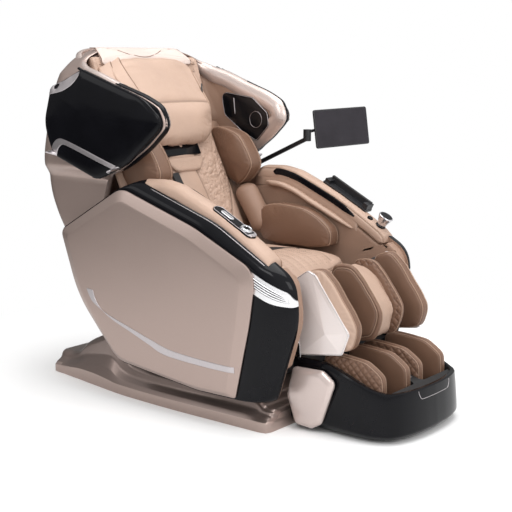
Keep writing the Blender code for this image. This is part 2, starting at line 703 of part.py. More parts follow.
def control_plate(grow=0.0):
    frame = on_arm(CONTROL_Y, RIGHT, (ARM_X + ARM_OUT) / 2)
    thick = CONTROL_THICK if not grow else CONTROL_THICK + 0.02
    return in_place(pill(CONTROL_LENGTH + 2 * grow, CONTROL_WIDTH + 2 * grow, -0.006 - grow,
                         thick - 0.006, 0.0 if grow else 0.002), frame)


def controls():
    """Console in the right armrest, with a dial and a start button sunk into it."""
    frame = on_arm(CONTROL_Y, RIGHT, (ARM_X + ARM_OUT) / 2)
    top = CONTROL_THICK - 0.006
    floor = top - 0.005
    plate = solid("control_console", control_plate(), GLOSS_BLACK, "seat")
    dial_spot = frame @ Matrix.Translation((0, DIAL_ALONG, 0))
    button_spot = frame @ Matrix.Translation((0, BUTTON_ALONG, 0))
    work(plate, "DIFFERENCE",
         in_place(bore((0, 0, floor), (0, 0, 0.02), DIAL_R, 18), dial_spot),
         in_place(pill(0.056 + 2 * RUNNING, 0.020 + 2 * RUNNING, floor, 0.02), button_spot))
    solid("control_dial", in_place(turned([(floor + SEAM, DIAL_R - 0.001), (floor + 0.0015, DIAL_R),
                                           (top + 0.008, DIAL_R), (top + 0.010, DIAL_R - 0.003),
                                           (top + 0.0085, DIAL_R - 0.006)]), dial_spot),
          CHROME, "dial")
    solid("start_button", in_place(pill(0.056, 0.020, floor + 0.002, top + 0.003, 0.001),
                                   button_spot), CHROME, "button")


def left_arm_fittings():
    """Phone cradle and the cone-shaped hand control that stands in its socket."""
    spot = on_arm(DOME_Y, LEFT, DOME_X)
    cone = turned([(-0.008 + SEAM, DOME_FOOT_R - 0.002), (-0.006, DOME_FOOT_R),
                   (0.006, DOME_FOOT_R), (0.040, 0.0265), (0.046, 0.0275), (0.049, 0.0255),
                   (0.0475, 0.020)])
    solid("hand_control", in_place(cone, spot), CHAMPAGNE, "hand_control")
    frame = on_arm(CRADLE_Y, LEFT, CRADLE_X)
    base = in_place(box((-0.022, -0.106, -0.004), (0.026, 0.106, 0.006)), frame)
    cradle = solid("phone_cradle", base, SATIN_BLACK, "seat")
    work(cradle, "UNION",
         in_place(box((0.012, -0.098, 0.004), (0.024, 0.098, 0.030)), frame),
         in_place(box((-0.016, -0.105, 0.004), (0.025, -0.083, 0.026)), frame),
         in_place(box((-0.016, 0.083, 0.004), (0.025, 0.105, 0.018)), frame))


# ---------------------------------------------------------------- tablet arm
def tablet_arm():
    """Bracket on the left side band, swinging arm, elbow link and the tablet itself."""
    fall = math.atan2(PANEL_EDGE[1][1] - PANEL_EDGE[0][1], PANEL_EDGE[0][0] - PANEL_EDGE[1][0])
    seat_z = PANEL_EDGE[0][1] + (PANEL_EDGE[0][0] - POST.y) * math.tan(fall) + 0.0062
    frame = Matrix.Translation((0, POST.y, seat_z)) @ Matrix.Rotation(-fall, 4, "X")
    foot = in_place(box((BAND_X + 0.016, -0.035, 0.0), (POST.x + 0.014, 0.035, 0.010)), frame)
    bracket = solid("tablet_bracket", foot, SATIN_BLACK, "seat")
    work(bracket, "UNION", rod((POST.x, POST.y, seat_z + 0.001), POST, 0.012))

    hub = rod(POST + Vector((0, 0, SEAM)), POST + Vector((0, 0, 0.022)), 0.014, 14)
    arm = solid("tablet_arm", hub, SATIN_BLACK, "tablet_arm")
    start = Vector((POST.y, POST.z + 0.012))
    end = Vector((ELBOW.y, ELBOW.z - 0.010))
    work(arm, "UNION", strap((start, end), 0.016, POST.x - 0.005, POST.x + 0.005),
         rod(ELBOW - Vector((0, 0, 0.020)), ELBOW, 0.0155, 14))

    hub = rod(ELBOW + Vector((0, 0, SEAM)), ELBOW + Vector((0, 0, 0.025)), 0.0155, 14)
    link = solid("tablet_link", hub, SATIN_BLACK, "tablet_link")
    away = TABLET_TURN.to_3x3() @ Vector((0, 1, 0))
    stem = LINK_FLANGE + away * 0.016
    work(link, "UNION", rod(LINK_FLANGE, LINK_FLANGE + away * FLANGE_THICK, FLANGE_R, 16),
         rod(LINK_FLANGE + away * 0.003, stem, 0.007, 12),
         rod(ELBOW + Vector((0, 0, 0.015)), stem - away * 0.002, 0.006, 12))

    width, height, thick = TABLET_SIZE
    corners = [(-width / 2, -height / 2, 0.010), (width / 2, -height / 2, 0.010),
               (width / 2, height / 2, 0.010), (-width / 2, height / 2, 0.010)]
    outline = rounded(corners)
    rings = [(inset(outline, 0.002), -thick / 2), (outline, -thick / 2 + 0.002),
             (outline, thick / 2 - 0.001), (inset(outline, 0.001), thick / 2)]
    mesh = skin([[Vector((p.x, depth, p.y)) for p in points] for points, depth in rings])
    spot = Matrix.Translation(TABLET_CENTRE) @ TABLET_TURN
    solid("tablet", in_place(mesh, spot), SCREEN, "tablet")


# ---------------------------------------------------------------- back
def wing_x(y):
    """Distance of the wing's outer face from the mirror plane at y."""
    return WING_FRONT_X + WING_FLARE * (y - WING_TIP_Y)


def shell_curve(level, inward, pull=0.0):
    """Half of one level of the back shell as (x, y), from its front edge to the middle.

    inward shifts the curve into the wall, and pull starts it behind the front edge.
    """
    _, front, rear, near_half, far_half = level
    start = max(rear - SHELL_CORNER, front + 0.03)
    bend = front + 0.62 * (start - front)
    far_half = far_half or wing_x(start)
    middle = (near_half + far_half) / 2 if near_half else wing_x(bend)
    near_half = near_half or wing_x(front)
    middle = Vector((middle - inward, bend))
    near = Vector((near_half - inward, front)).lerp(middle, pull / (bend - front))
    points = [near, middle]
    for step in range(7):
        angle = math.radians(90) * step / 6
        points.append(Vector(((far_half - inward) * math.cos(angle) ** 0.7,
                              start + (rear - start - inward) * math.sin(angle) ** 0.7)))
    points[-1].x = 0.0
    return points


def both_halves(points):
    """Continue a half curve over the mirror plane, to its mirror image's front edge."""
    return points + [Vector((-p.x, p.y)) for p in reversed(points[:-1])]


def back_shell():
    """One moulding: lower shell between the bands, both wings, and the hood over the head."""
    rings = []
    for level in SHELL_LEVELS:
        outer = both_halves(shell_curve(level, 0.0))
        inner = both_halves(shell_curve(level, SHELL_WALL))
        nose = Vector(((outer[0].x + inner[0].x) / 2, outer[0].y - 0.008))
        ring = outer + [Vector((-nose.x, nose.y))] + inner[::-1] + [nose]
        rings.append([Vector((p.x, p.y, level[0])) for p in ring])
    solid("back_shell", skin(rings), CHAMPAGNE, "backrest")


def head_lining():
    """Padded lining inside the wings; it turns in to the sides of the back pad."""
    side = PAD_HALF + 0.004
    rings = []
    for level in SHELL_LEVELS[LINING_LEVELS]:
        z = level[0]
        rim = 0.022 if z < 0.95 else 0.042
        outer = shell_curve(level, SHELL_WALL + LINING_GAP, rim)
        outer = outer[:2] + outer[2::2]
        edge, near = outer[0], outer[0].lerp(outer[1], 0.95)
        back = outer[-1].y - HEAD_LINING
        bend = max(near.y + 0.01, pad_front(z) + 0.025)
        reach = min(0.095, back - 0.014 - bend)
        wall = near.x - HEAD_LINING
        inner = [Vector((edge.x - HEAD_LINING, edge.y + 0.003)), Vector((wall, near.y)),
                 Vector((wall - 0.006, bend)), Vector((wall - 0.030, bend + 0.42 * reach)),
                 Vector((side + 0.016, bend + 0.72 * reach)), Vector((side, bend + reach)),
                 Vector((side, back - 0.010)), Vector((side - 0.012, back)), Vector((0, back))]
        ring = both_halves(outer) + both_halves(inner)[::-1]
        rings.append([Vector((p.x, p.y, z)) for p in ring])
    solid("head_lining", skin(rings), TAN, "backrest")


def wings():
    """Gloss outer panel and speaker panel of each wing."""
    for side, word in SIDES:
        flip = mirrored if side == RIGHT else (lambda mesh: mesh)
        edge = rounded(WING_EDGE, 4)
        layers = [(edge, 0.001), (edge, 0.010), (inset(edge, 0.006), 0.015),
                  (scaled(edge, 0.80), 0.019), (scaled(edge, 0.45), 0.021)]
        rings = [across(points, WING_FRONT_X + out, WING_FLARE, WING_TIP_Y)
                 for points, out in layers]
        solid("wing_panel_" + word, flip(skin(rings)), GLOSS_BLACK, "backrest")
        edge = rounded(SPEAKER_EDGE)
        layers = [(edge, 0.0), (edge, -0.004), (inset(edge, 0.002), -0.006)]
        inside = WING_FRONT_X - SHELL_WALL - LINING_GAP - HEAD_LINING - SEAM
        rings = [across(points, inside + out, WING_FLARE, WING_TIP_Y)
                 for points, out in layers]
        solid("speaker_panel_" + word, flip(skin(rings)), GLOSS_BLACK, "backrest")


def hood_panel():
    """Capsule-shaped panel that closes the hood between its rims, above the head pillow."""
    rings = []
    for level in SHELL_LEVELS[HOOD_LEVELS]:
        edge = shell_curve(level, SHELL_WALL + LINING_GAP - 0.0016, 0.004)
        edge[0].x -= 0.012
        rings.append([Vector((p.x, p.y, level[0])) for p in both_halves(edge)])
    solid("hood_panel", skin(rings), CREAM, "backrest")


def back_pad():
    """Padded back: crowned between two sewn channels, drawn in at its sides."""
    groove = PAD_GROOVE_X
    face = [(-PAD_HALF, -0.014), (-PAD_HALF + 0.012, -0.003), (-groove - 0.060, 0.003),
            (-groove - 0.012, -0.001), (-groove, -0.009), (-groove + 0.012, 0.001), (-0.035, 0.007),
            (0.0, 0.008)]
    face += [(-x, out) for x, out in reversed(face[:-1])]
    rings = []
    for index, point in enumerate(PAD_LINE):
        here = Vector(point)
        low = Vector(PAD_LINE[max(index - 1, 0)])
        high = Vector(PAD_LINE[min(index + 1, len(PAD_LINE) - 1)])
        along = (high - low).normalized()
        away = Vector((-along.y, along.x))
        end = index in (0, len(PAD_LINE) - 1)
        shrink = 0.012 if end else 0.0
        ring = []
        for x, out in face:
            x -= math.copysign(min(shrink, abs(x)), x)
            ring.append(at(x, here + away * (out - shrink)))
        for x in (PAD_HALF - shrink, -PAD_HALF + shrink):
            ring.append(at(x, here - away * (PAD_THICK - shrink)))
        rings.append(ring)
    solid("back_pad", skin(rings), CREAM, "backrest")


def pad_front(z):
    """How far to the rear the face of the back pad stands at a height."""
    for (y0, z0), (y1, z1) in zip(PAD_LINE, PAD_LINE[1:]):
        if z <= z1:
            break
    return y0 + (y1 - y0) * (z - z0) / (z1 - z0)


def pad_back_line(gap):
    """(y, z) points behind the back pad, from the seat up."""
    points = []
    for index in range(1, len(PAD_LINE) - 1):
        along = (Vector(PAD_LINE[index + 1]) - Vector(PAD_LINE[index - 1])).normalized()
        away = Vector((-along.y, along.x))
        points.append(Vector(PAD_LINE[index]) - away * (PAD_THICK + gap))
    return points


def roller_track():
    """Two curved side plates, cross tubes into the shell, and the arms down to the hip pin."""
    front = pad_back_line(SEAM)
    rear = [spine(0.640, 0.020), spine(0.400, -0.004), spine(0.080, 0.004)]
    outline = front + rear
    low, high = RAIL_PLATE_X, RAIL_PLATE_X + RAIL_PLATE_THICK
    track = solid("roller_track", skin([across(outline, low), across(outline, high)]),
                  STEEL, "backrest")
    tools = [skin([across(outline, -high), across(outline, -low)])]
    lower, middle, upper = spine(0.092, 0.034), spine(0.260, 0.008), spine(0.600, 0.034)
    for spot, radius, half in ((lower, 0.016, FRAME_X - 0.004), (upper, 0.016, high + 0.020),
                               (middle, 0.012, BACK_HALF - SHELL_WALL - SEAM)):
        tools.append(rod(at(-half, spot), at(half, spot), radius))
    for side, _ in SIDES:
        plate = sorted((side * (FRAME_X - 0.018), side * (FRAME_X - 0.006)))
        tools.append(strap((lower, HIP), 0.040, *plate))
        tools.append(rod(at(plate[0] + 0.001, HIP), at(plate[1] - 0.001, HIP), 0.026, 14))
        pin = (side * (FRAME_X - 0.012), side * (FRAME_X + FRAME_THICK + 0.006))
        tools.append(rod(at(pin[0], HIP), at(pin[1], HIP), SHAFT_R))
    work(track, "UNION", *tools)


def massage_carriage():
    """Carriage on the track: a box with the kneading shaft, two arms and four rollers."""
    half = RAIL_PLATE_X - SEAM
    body = SHAFT_SET - 0.030
    path = (spine(CARRIAGE_START - 0.045, body), spine(CARRIAGE_START + 0.045, body))
    carriage = solid("massage_carriage", strap(path, 0.028, -half + 0.012, half - 0.012),
                     STEEL, "carriage")
    path = (spine(CARRIAGE_START - 0.030, body + 0.009), spine(CARRIAGE_START + 0.030, body + 0.009))
    tools = [strap(path, 0.040, -0.030, 0.030)]
    for offset in (-0.036, 0.036):
        spot = spine(CARRIAGE_START + offset, body)
        tools.append(rod(at(-half, spot), at(half, spot), 0.008, 10))
    shaft = spine(CARRIAGE_START, SHAFT_SET)
    tools.append(rod(at(-0.100, shaft), at(0.100, shaft), 0.007, 12))
    work(carriage, "UNION", *tools)
    for side, word in SIDES:
        arm_low, arm_high = sorted((side * 0.060, side * 0.072))
        arm = solid("kneading_arm_" + word,
                    rod(at(arm_low, shaft), at(arm_high, shaft), 0.013, 16), STEEL,
                    "arm_" + word)
        ends = [spine(CARRIAGE_START + up, SHAFT_SET + ARM_SET) for up in (-ARM_REACH, ARM_REACH)]
        tools = [strap((ends[0], shaft, ends[1]), 0.016, arm_low + 0.001, arm_high - 0.001)]
        for end in ends:
            start, stop = sorted((side * 0.062, side * (0.074 + ROLLER_WIDTH)))
            tools.append(rod(at(start, end), at(stop, end), 0.005, 10))
        work(arm, "UNION", *tools)
        work(arm, "DIFFERENCE", bore(at(arm_low - 0.02, shaft), at(arm_high + 0.02, shaft), 0.007))
        for end, level in zip(ends, ("lower", "upper")):
            name = "roller_%s_%s" % (level, word)
            inner, outer = side * 0.0735, side * (0.0735 + ROLLER_WIDTH)
            mesh = turned([(0.0, ROLLER_R - 0.006), (0.006, ROLLER_R),
                           (ROLLER_WIDTH - 0.006, ROLLER_R), (ROLLER_WIDTH, ROLLER_R - 0.006)], 14)
            turn = Vector((outer - inner, 0, 0)).to_track_quat("Z", "Y").to_matrix().to_4x4()
            roller = solid(name, in_place(mesh, Matrix.Translation(at(inner, end)) @ turn),
                           RUBBER, name)
            work(roller, "DIFFERENCE", bore(at(inner - side * 0.01, end),
                                            at(outer + side * 0.01, end), 0.005, 10))


def shoulder_cushions():
    outline = rounded([(0.470, 0.962, 0.03), (0.290, 0.918, 0.04), (0.212, 0.800, 0.04),
                       (0.300, 0.712, 0.03), (0.400, 0.770, 0.05)])
    for side, word in SIDES:
        def place(a, b, depth):
            fuller = min(max((pad_front(b) - 0.012 - a) / 0.06, 0.0), 1.0)
            return Vector((side * (ARM_X - 0.002 - depth * (1 + 0.40 * fuller)), a, b))
        solid("shoulder_cushion_" + word, cushion(outline, 0.0608, 0.006, place, 2),
              BROWN, "backrest")


def head_pillow():
    """Head pillow with a fuller lower half and a wider top, hung from the hood."""
    def rest(z):
        return (pad_front(z) - 0.0151, z, 0.05)

    outline = rounded([(*PILLOW_PIN, 0.012), (0.568, 1.202, 0.004), (0.560, 1.213, 0.008),
                       (0.530, 1.204, 0.02), (0.448, 1.100, 0.05),
                       (0.372, 1.010, 0.06), (0.350, 0.905, 0.05), (0.380, 0.866, 0.02),
                       rest(0.915), rest(1.040), rest(1.115)])
    stations = [(-1.0, 0.36), (-0.95, 0.62), (-0.83, 0.84), (-0.64, 0.95), (-0.32, 1.0)]
    stations += [(-share, factor) for share, factor in reversed(stations)]
    rings = []
    for share, factor in stations:
        rings.append([at(share * PILLOW_HALF * (1 + 0.55 * (point.y - 1.03)), point)
                      for point in scaled(outline, factor)])
    solid("head_pillow", skin(rings), CREAM, "pillow")


# ---------------------------------------------------------------- leg rest
def calf_frame():
    """Shin plate with knee pins, and the sleeves that the foot box's rods slide in."""
    rear, front = SHIN_PLATE
    half = CALF_PAD_X + CALF_PAD
    outline = [shin(0.004, rear), shin(0.004, front), shin(SHIN_PLATE_LENGTH, front),
               shin(SHIN_PLATE_LENGTH, rear)]
    frame = solid("calf_frame", skin([across(outline, -half), across(outline, half)]),
                  SATIN_BLACK, "leg")
    tools, holes = [], []
    for side, _ in SIDES:
        lug = sorted((side * (half - 0.016), side * (half - 0.002)))
        tools.append(strap((KNEE, shin(0.030, rear + 0.004)), 0.030, *lug))
        tools.append(rod(at(lug[0] + 0.001, KNEE), at(lug[1] - 0.001, KNEE), 0.019, 14))
        pin = (side * (half - 0.006), side * (FRAME_X + FRAME_THICK + 0.004))
        tools.append(rod(at(pin[0], KNEE), at(pin[1], KNEE), KNEE_PIN_R))
        x = side * ROD_X
        sleeve = [shin(0.135, ROD_SET - 0.014), shin(SHIN_PLATE_LENGTH, ROD_SET - 0.014),
                  shin(SHIN_PLATE_LENGTH, rear + 0.002), shin(0.135, rear + 0.002)]
        tools.append(skin([across(sleeve, x - 0.015), across(sleeve, x + 0.015)]))
        holes.append(bore(at(x, shin(0.10, ROD_SET)), at(x, shin(0.25, ROD_SET)), ROD_R))
    work(frame, "UNION", *tools)
    work(frame, "DIFFERENCE", *holes)


def calf_pads():
    """Outer pads, the two-lobed divider between the calves, and the shells outside."""
    front = SHIN_PLATE[1] + SEAM
    top, bottom = (*shin(-0.020, front), 0.02), (*shin(0.208, front), 0.01)
    edge = rounded([top, *CALF_EDGE, bottom])
    for side, word in SIDES:
        def place(a, b, depth):
            return Vector((side * (CALF_SHELL_X - SEAM - depth), a, b))
        solid("calf_pad_" + word, cushion(edge, CALF_PAD - 0.008, 0.008, place, 2), BROWN, "leg")
        flip = mirrored if side == RIGHT else (lambda mesh: mesh)
        shell, face = rounded(CALF_SHELL_EDGE), rounded(CALF_SHELL_FACE)
        rings = [across(shell, CALF_SHELL_X), across(shell, CALF_SHELL_X + 0.004),
                 across(face, CALF_OUT)]
        solid("calf_shell_" + word, flip(skin(rings)), CHAMPAGNE, "leg")
    middle = rounded([top, *DIVIDER_EDGE, bottom])
    block = rounded([top, *BLOCK_EDGE, bottom])
    half = [(1.0, middle, 0.60), (0.97, middle, 0.88), (0.90, middle, 0.985), (0.72, middle, 1.0),
            (0.66, middle, 0.975), (0.64, block, 0.985), (0.20, block, 1.0)]
    stations = [(-x, outline, factor) for x, outline, factor in half] + list(reversed(half))
    rings = [across(scaled(outline, factor), x * DIVIDER_HALF) for x, outline, factor in stations]
    solid("calf_divider", skin(rings), BROWN, "leg")


def foot_rim(y):
    """Height of the foot box's rim, which rises towards the rear."""
    share = min(max((y + 0.660) / 0.230, 0.0), 1.0)
    return FOOT_RIM_FRONT + (FOOT_RIM_REAR - FOOT_RIM_FRONT) * share


def foot_box():
    """Gloss tub: chamfered foot, leaning walls, raised rim, and two wells for the feet."""
    plan = [Vector(p) for p in FOOT_PLAN] + [Vector((-x, y)) for x, y in FOOT_PLAN[-2::-1]]
    lowest = FOOT_FLOOR
    rings = []
    for share, pull in ((0.0, 0.026), (0.10, 0.004), (0.16, 0.0), (0.55, 0.004), (0.93, 0.010),
                        (1.0, 0.014)):
        rings.append([Vector((p.x, p.y, lowest + (foot_rim(p.y) - lowest) * share))
                      for p in inset(plan, pull)])
    for pull, drop in ((0.026, 0.0), (0.030, 0.008)):
        rings.append([Vector((p.x, p.y, foot_rim(p.y) - drop)) for p in inset(plan, pull)])
    tub = solid("foot_box", skin(rings, bridged=True), GLOSS_BLACK, "foot")
    cuts = []
    for side, _ in SIDES:
        x = sorted((side * WELL_IN, side * WELL_OUT))
        outline = rounded([(x[0], WELL_FRONT, 0.008), (x[1], WELL_FRONT, 0.008),
                           (x[1], WELL_REAR, 0.006), (x[0], WELL_REAR, 0.006)], 2)
        cuts.append(skin([[Vector((p.x, p.y, z)) for p in outline] for z in (WELL_FLOOR, 0.30)]))
    cuts.append(bore(at(-WELL_OUT - 0.012, FOOT_SHAFT), at(WELL_OUT + 0.012, FOOT_SHAFT),
                     FOOT_SHAFT_R))
    work(tub, "DIFFERENCE", *cuts)


def foot_fittings():
    """Side covers, ankle pads, the roller shaft under the soles and the slide rods."""
    edge = rounded(FOOT_COVER_EDGE, 3)
    cover_x = FOOT_PLAN[1][0] + SEAM
    pads = rounded(FOOT_PAD_EDGE)
    for side, word in SIDES:
        flip = mirrored if side == RIGHT else (lambda mesh: mesh)
        rings = [across(inset(edge, 0.002), cover_x), across(edge, cover_x + 0.004),
                 across(edge, cover_x + 0.010), across(scaled(edge, 0.84), cover_x + 0.020)]
        solid("foot_cover_" + word, flip(skin(rings)), CHAMPAGNE, "foot")

        def outer(a, b, depth):
            return Vector((side * (WELL_OUT - SEAM - depth), a, b))

        def inner(a, b, depth):
            return Vector((side * (WELL_IN + SEAM + depth), a, b))

        thick = FOOT_PAD_THICK - 0.006
        solid("foot_pad_outer_" + word, cushion(pads, thick, 0.006, outer, 1), BROWN, "foot")
        solid("foot_pad_inner_" + word, cushion(pads, thick, 0.006, inner, 1), BROWN, "foot")

    shaft = solid("foot_roller", rod(at(-WELL_OUT - 0.011, FOOT_SHAFT),
                                     at(WELL_OUT + 0.011, FOOT_SHAFT), FOOT_SHAFT_R, 12),
                  RUBBER, "foot_roller")
    tools = []
    channel = (WELL_IN + FOOT_PAD_THICK + 0.006, WELL_OUT - FOOT_PAD_THICK - 0.006)
    for side, _ in SIDES:
        middle = (channel[0] + channel[1]) / 2
        for offset in (-0.022, 0.022):
            x = side * (middle + offset)
            mesh = turned([(-0.015, FOOT_ROLLER_R - 0.005), (-0.010, FOOT_ROLLER_R),
                           (0.010, FOOT_ROLLER_R), (0.015, FOOT_ROLLER_R - 0.005)], 16)
            turn = Matrix.Rotation(math.radians(90), 4, "Y")
            tools.append(in_place(mesh, Matrix.Translation(at(x, FOOT_SHAFT)) @ turn))
    work(shaft, "UNION", *tools)

    end = shin(0.030, ROD_SET)
    deck = foot_rim(-0.36) - 0.008
    start = shin((KNEE.y - deck - 0.006) / math.cos(SHIN_LEAN), ROD_SET)
    rods = solid("foot_slide_rods", rod(at(ROD_X, start), at(ROD_X, end), ROD_R), CHROME, "foot")
    work(rods, "UNION", rod(at(-ROD_X, start), at(-ROD_X, end), ROD_R),
         box((-ROD_X - 0.016, start.x - 0.020, deck + SEAM),
             (ROD_X + 0.016, start.x + 0.004, deck + 0.010)))


# ---------------------------------------------------------------- assembly
def main():
    for old in list(bpy.data.objects):
        bpy.data.objects.remove(old)

    shaft = spine(CARRIAGE_START, SHAFT_SET)
    wheel_axle = Vector((0, WHEEL_Y, WHEEL_R + 0.004))
    pivot_empty("base", (0, 0, 0))
    pivot_empty("wheels", wheel_axle, "base")
    pivot_empty("seat", at(0, TILT), "base")
    pivot_empty("backrest", at(0, HIP), "seat")
    pivot_empty("pillow", at(0, PILLOW_PIN), "backrest")
    pivot_empty("carriage", at(0, spine(CARRIAGE_START, 0.0)), "backrest")
    for side, word in SIDES:
        pivot_empty("arm_" + word, at(side * 0.066, shaft), "carriage")
        for level, up in (("lower", -ARM_REACH), ("upper", ARM_REACH)):
            spot = spine(CARRIAGE_START + up, SHAFT_SET + ARM_SET)
            pivot_empty("roller_%s_%s" % (level, word), at(side * 0.088, spot), "arm_" + word)
    pivot_empty("leg", at(0, KNEE), "seat")
    pivot_empty("foot", at(0, shin(0.2, ROD_SET)), "leg")
    pivot_empty("foot_roller", at(0, FOOT_SHAFT), "foot")
    console = on_arm(CONTROL_Y, RIGHT, (ARM_X + ARM_OUT) / 2)
    pivot_empty("dial", console @ Vector((0, DIAL_ALONG, 0)), "seat")
    pivot_empty("button", console @ Vector((0, BUTTON_ALONG, 0)), "seat")
    pivot_empty("hand_control", on_arm(DOME_Y, LEFT, DOME_X).translation, "seat")
    pivot_empty("tablet_arm", POST, "seat")
    pivot_empty("tablet_link", ELBOW, "tablet_arm")
    pivot_empty("tablet", LINK_FLANGE, "tablet_link")

    base_shell()
    transport_wheels()
    base_chassis()
    seat_frame()
    seat_cushion()
    hip_cushions()
    side_body()
    armrests()
    controls()
    left_arm_fittings()
    tablet_arm()
    back_shell()
    head_lining()
    wings()
    hood_panel()
    back_pad()
    roller_track()
    massage_carriage()
    shoulder_cushions()
    head_pillow()
    calf_frame()
    calf_pads()
    foot_box()
    foot_fittings()


main()
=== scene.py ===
"""Massage chair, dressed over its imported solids.

The file follows the chair as it is put together: the floor base, the seat body with its side
covers, the back, the leg rest and the controls. Metres, +Z up, the sitter faces -Y.
"""

import math

import bmesh
import bpy
import numpy as np
from mathutils import Matrix, Vector, noise
from mathutils.bvhtree import BVHTree
from mathutils.kdtree import KDTree


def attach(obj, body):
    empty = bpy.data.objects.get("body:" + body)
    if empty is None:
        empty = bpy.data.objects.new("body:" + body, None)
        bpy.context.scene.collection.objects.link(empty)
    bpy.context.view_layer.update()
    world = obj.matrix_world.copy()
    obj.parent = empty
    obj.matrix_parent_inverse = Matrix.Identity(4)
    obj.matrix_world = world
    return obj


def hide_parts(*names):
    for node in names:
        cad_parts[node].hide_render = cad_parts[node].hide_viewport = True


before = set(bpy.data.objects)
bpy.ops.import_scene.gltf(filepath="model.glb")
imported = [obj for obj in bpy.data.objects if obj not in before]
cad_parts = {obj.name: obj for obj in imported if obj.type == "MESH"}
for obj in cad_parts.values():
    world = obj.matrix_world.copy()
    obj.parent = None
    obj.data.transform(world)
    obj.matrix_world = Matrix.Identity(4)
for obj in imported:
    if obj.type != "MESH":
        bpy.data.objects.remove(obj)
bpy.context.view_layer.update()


# ---------------------------------------------------------------- camera
# Where the photographer stood: front left of the chair, just above the armrests.
CAMERA_AT = Vector((-3.081, -2.42, 1.199))
CAMERA_AZIMUTH = math.radians(-51.53)
CAMERA_PITCH = math.radians(10.04)
view_line = Vector((-math.sin(CAMERA_AZIMUTH) * math.cos(CAMERA_PITCH),
                    math.cos(CAMERA_AZIMUTH) * math.cos(CAMERA_PITCH),
                    -math.sin(CAMERA_PITCH)))
lens = bpy.data.cameras.new("camera")
lens.lens = 77.8
lens.sensor_width = 36
camera = bpy.data.objects.new("camera", lens)
camera.location = CAMERA_AT
camera.rotation_euler = view_line.to_track_quat("-Z", "Y").to_euler()
bpy.context.scene.collection.objects.link(camera)
bpy.context.scene.camera = camera


# ---------------------------------------------------------------- room
# A pale studio floor that runs out to white, with painted shade behind the chair that only
# reflections and bounced light see, four softboxes and a dim sky that is brighter to the
# front and overhead, as a cove is.
bpy.context.scene.view_settings.view_transform = "Standard"


def new_node(tree, kind, mode=None, **sockets):
    """A node of the given kind, with its mode and the values of its inputs."""
    made = tree.nodes.new(kind)
    if mode:
        setattr(made, "interpolation_type" if kind.endswith("MapRange") else "operation", mode)
    for socket, value in sockets.items():
        made.inputs[socket.replace("_", " ")].default_value = value
    return made


def wired(tree, *pairs):
    """Join outputs to inputs. Each pair is (node, output, node, input)."""
    for source, output, target, entry in pairs:
        tree.links.new(source.outputs[output], target.inputs[entry])


floor_mesh = bpy.data.meshes.new("floor")
floor_mesh.from_pydata([(-30, -30, 0), (30, -30, 0), (30, 30, 0), (-30, 30, 0)], [], [(0, 1, 2, 3)])
floor = bpy.data.objects.new("floor", floor_mesh)
bpy.context.scene.collection.objects.link(floor)
floor_finish = bpy.data.materials.new("floor_finish")
floor_finish.use_nodes = True
tree = floor_finish.node_tree
tree.nodes.clear()
place, path = new_node(tree, "ShaderNodeTexCoord"), new_node(tree, "ShaderNodeLightPath")
length = new_node(tree, "ShaderNodeVectorMath", "LENGTH")
fade = new_node(tree, "ShaderNodeMapRange", "SMOOTHSTEP", From_Min=0.95, From_Max=1.75)
sees, share = new_node(tree, "ShaderNodeMath", "MAXIMUM"), new_node(tree, "ShaderNodeMath", "MULTIPLY")
split = new_node(tree, "ShaderNodeSeparateXYZ")
# Painted shade on the floor: its colour falls from 0.85 to 0.07 towards the rear, for all but camera
# rays.
painted_floor_shade = new_node(tree, "ShaderNodeMapRange", From_Min=1.3, From_Max=3.4, To_Min=0.85, To_Max=0.07)
paper = new_node(tree, "ShaderNodeMath", "MAXIMUM")
matt, glow = new_node(tree, "ShaderNodeBsdfDiffuse"), new_node(tree, "ShaderNodeEmission")
mixed, out = new_node(tree, "ShaderNodeMixShader"), new_node(tree, "ShaderNodeOutputMaterial")
wired(tree, (place, "Object", split, 0), (split, "Y", painted_floor_shade, "Value"), (painted_floor_shade, "Result", paper, 0),
      (path, "Is Camera Ray", paper, 1), (paper, 0, matt, "Color"), (place, "Object", length, 0),
      (length, "Value", fade, "Value"), (path, "Is Camera Ray", sees, 0),
      (path, "Is Transmission Ray", sees, 1), (sees, 0, share, 0), (fade, "Result", share, 1),
      (share, 0, mixed, "Fac"), (matt, 0, mixed, 1), (glow, 0, mixed, 2),
      (mixed, 0, out, "Surface"))
floor_mesh.materials.append(floor_finish)

room = bpy.data.worlds.new("room")
bpy.context.scene.world = room
room.use_nodes = True
tree = room.node_tree
tree.nodes.clear()
place, path = new_node(tree, "ShaderNodeTexCoord"), new_node(tree, "ShaderNodeLightPath")
toward = new_node(tree, "ShaderNodeVectorMath", "DOT_PRODUCT")
toward.inputs[1].default_value = (-0.25, -0.80, 0.55)
height = new_node(tree, "ShaderNodeMapRange", From_Min=-0.75, From_Max=0.9, To_Min=0.12, To_Max=1.10)
sky = new_node(tree, "ShaderNodeBackground", Color=(1, 1, 1, 1))
white = new_node(tree, "ShaderNodeBackground", Color=(1, 1, 1, 1))
mixed, out = new_node(tree, "ShaderNodeMixShader"), new_node(tree, "ShaderNodeOutputWorld")
wired(tree, (place, "Generated", toward, 0), (toward, "Value", height, "Value"),
      (height, "Result", sky, "Strength"), (path, "Is Camera Ray", mixed, "Fac"),
      (sky, 0, mixed, 1), (white, 0, mixed, 2), (mixed, 0, out, "Surface"))


def softbox(name, spot, target, size, power):
    """A square area lamp that faces a point of the chair."""
    lamp = bpy.data.lights.new(name, "AREA")
    lamp.size = size
    lamp.energy = power
    made = bpy.data.objects.new(name, lamp)
    made.location = spot
    aim = Vector(target) - Vector(spot)
    made.rotation_euler = aim.to_track_quat("-Z", "Y").to_euler()
    bpy.context.scene.collection.objects.link(made)


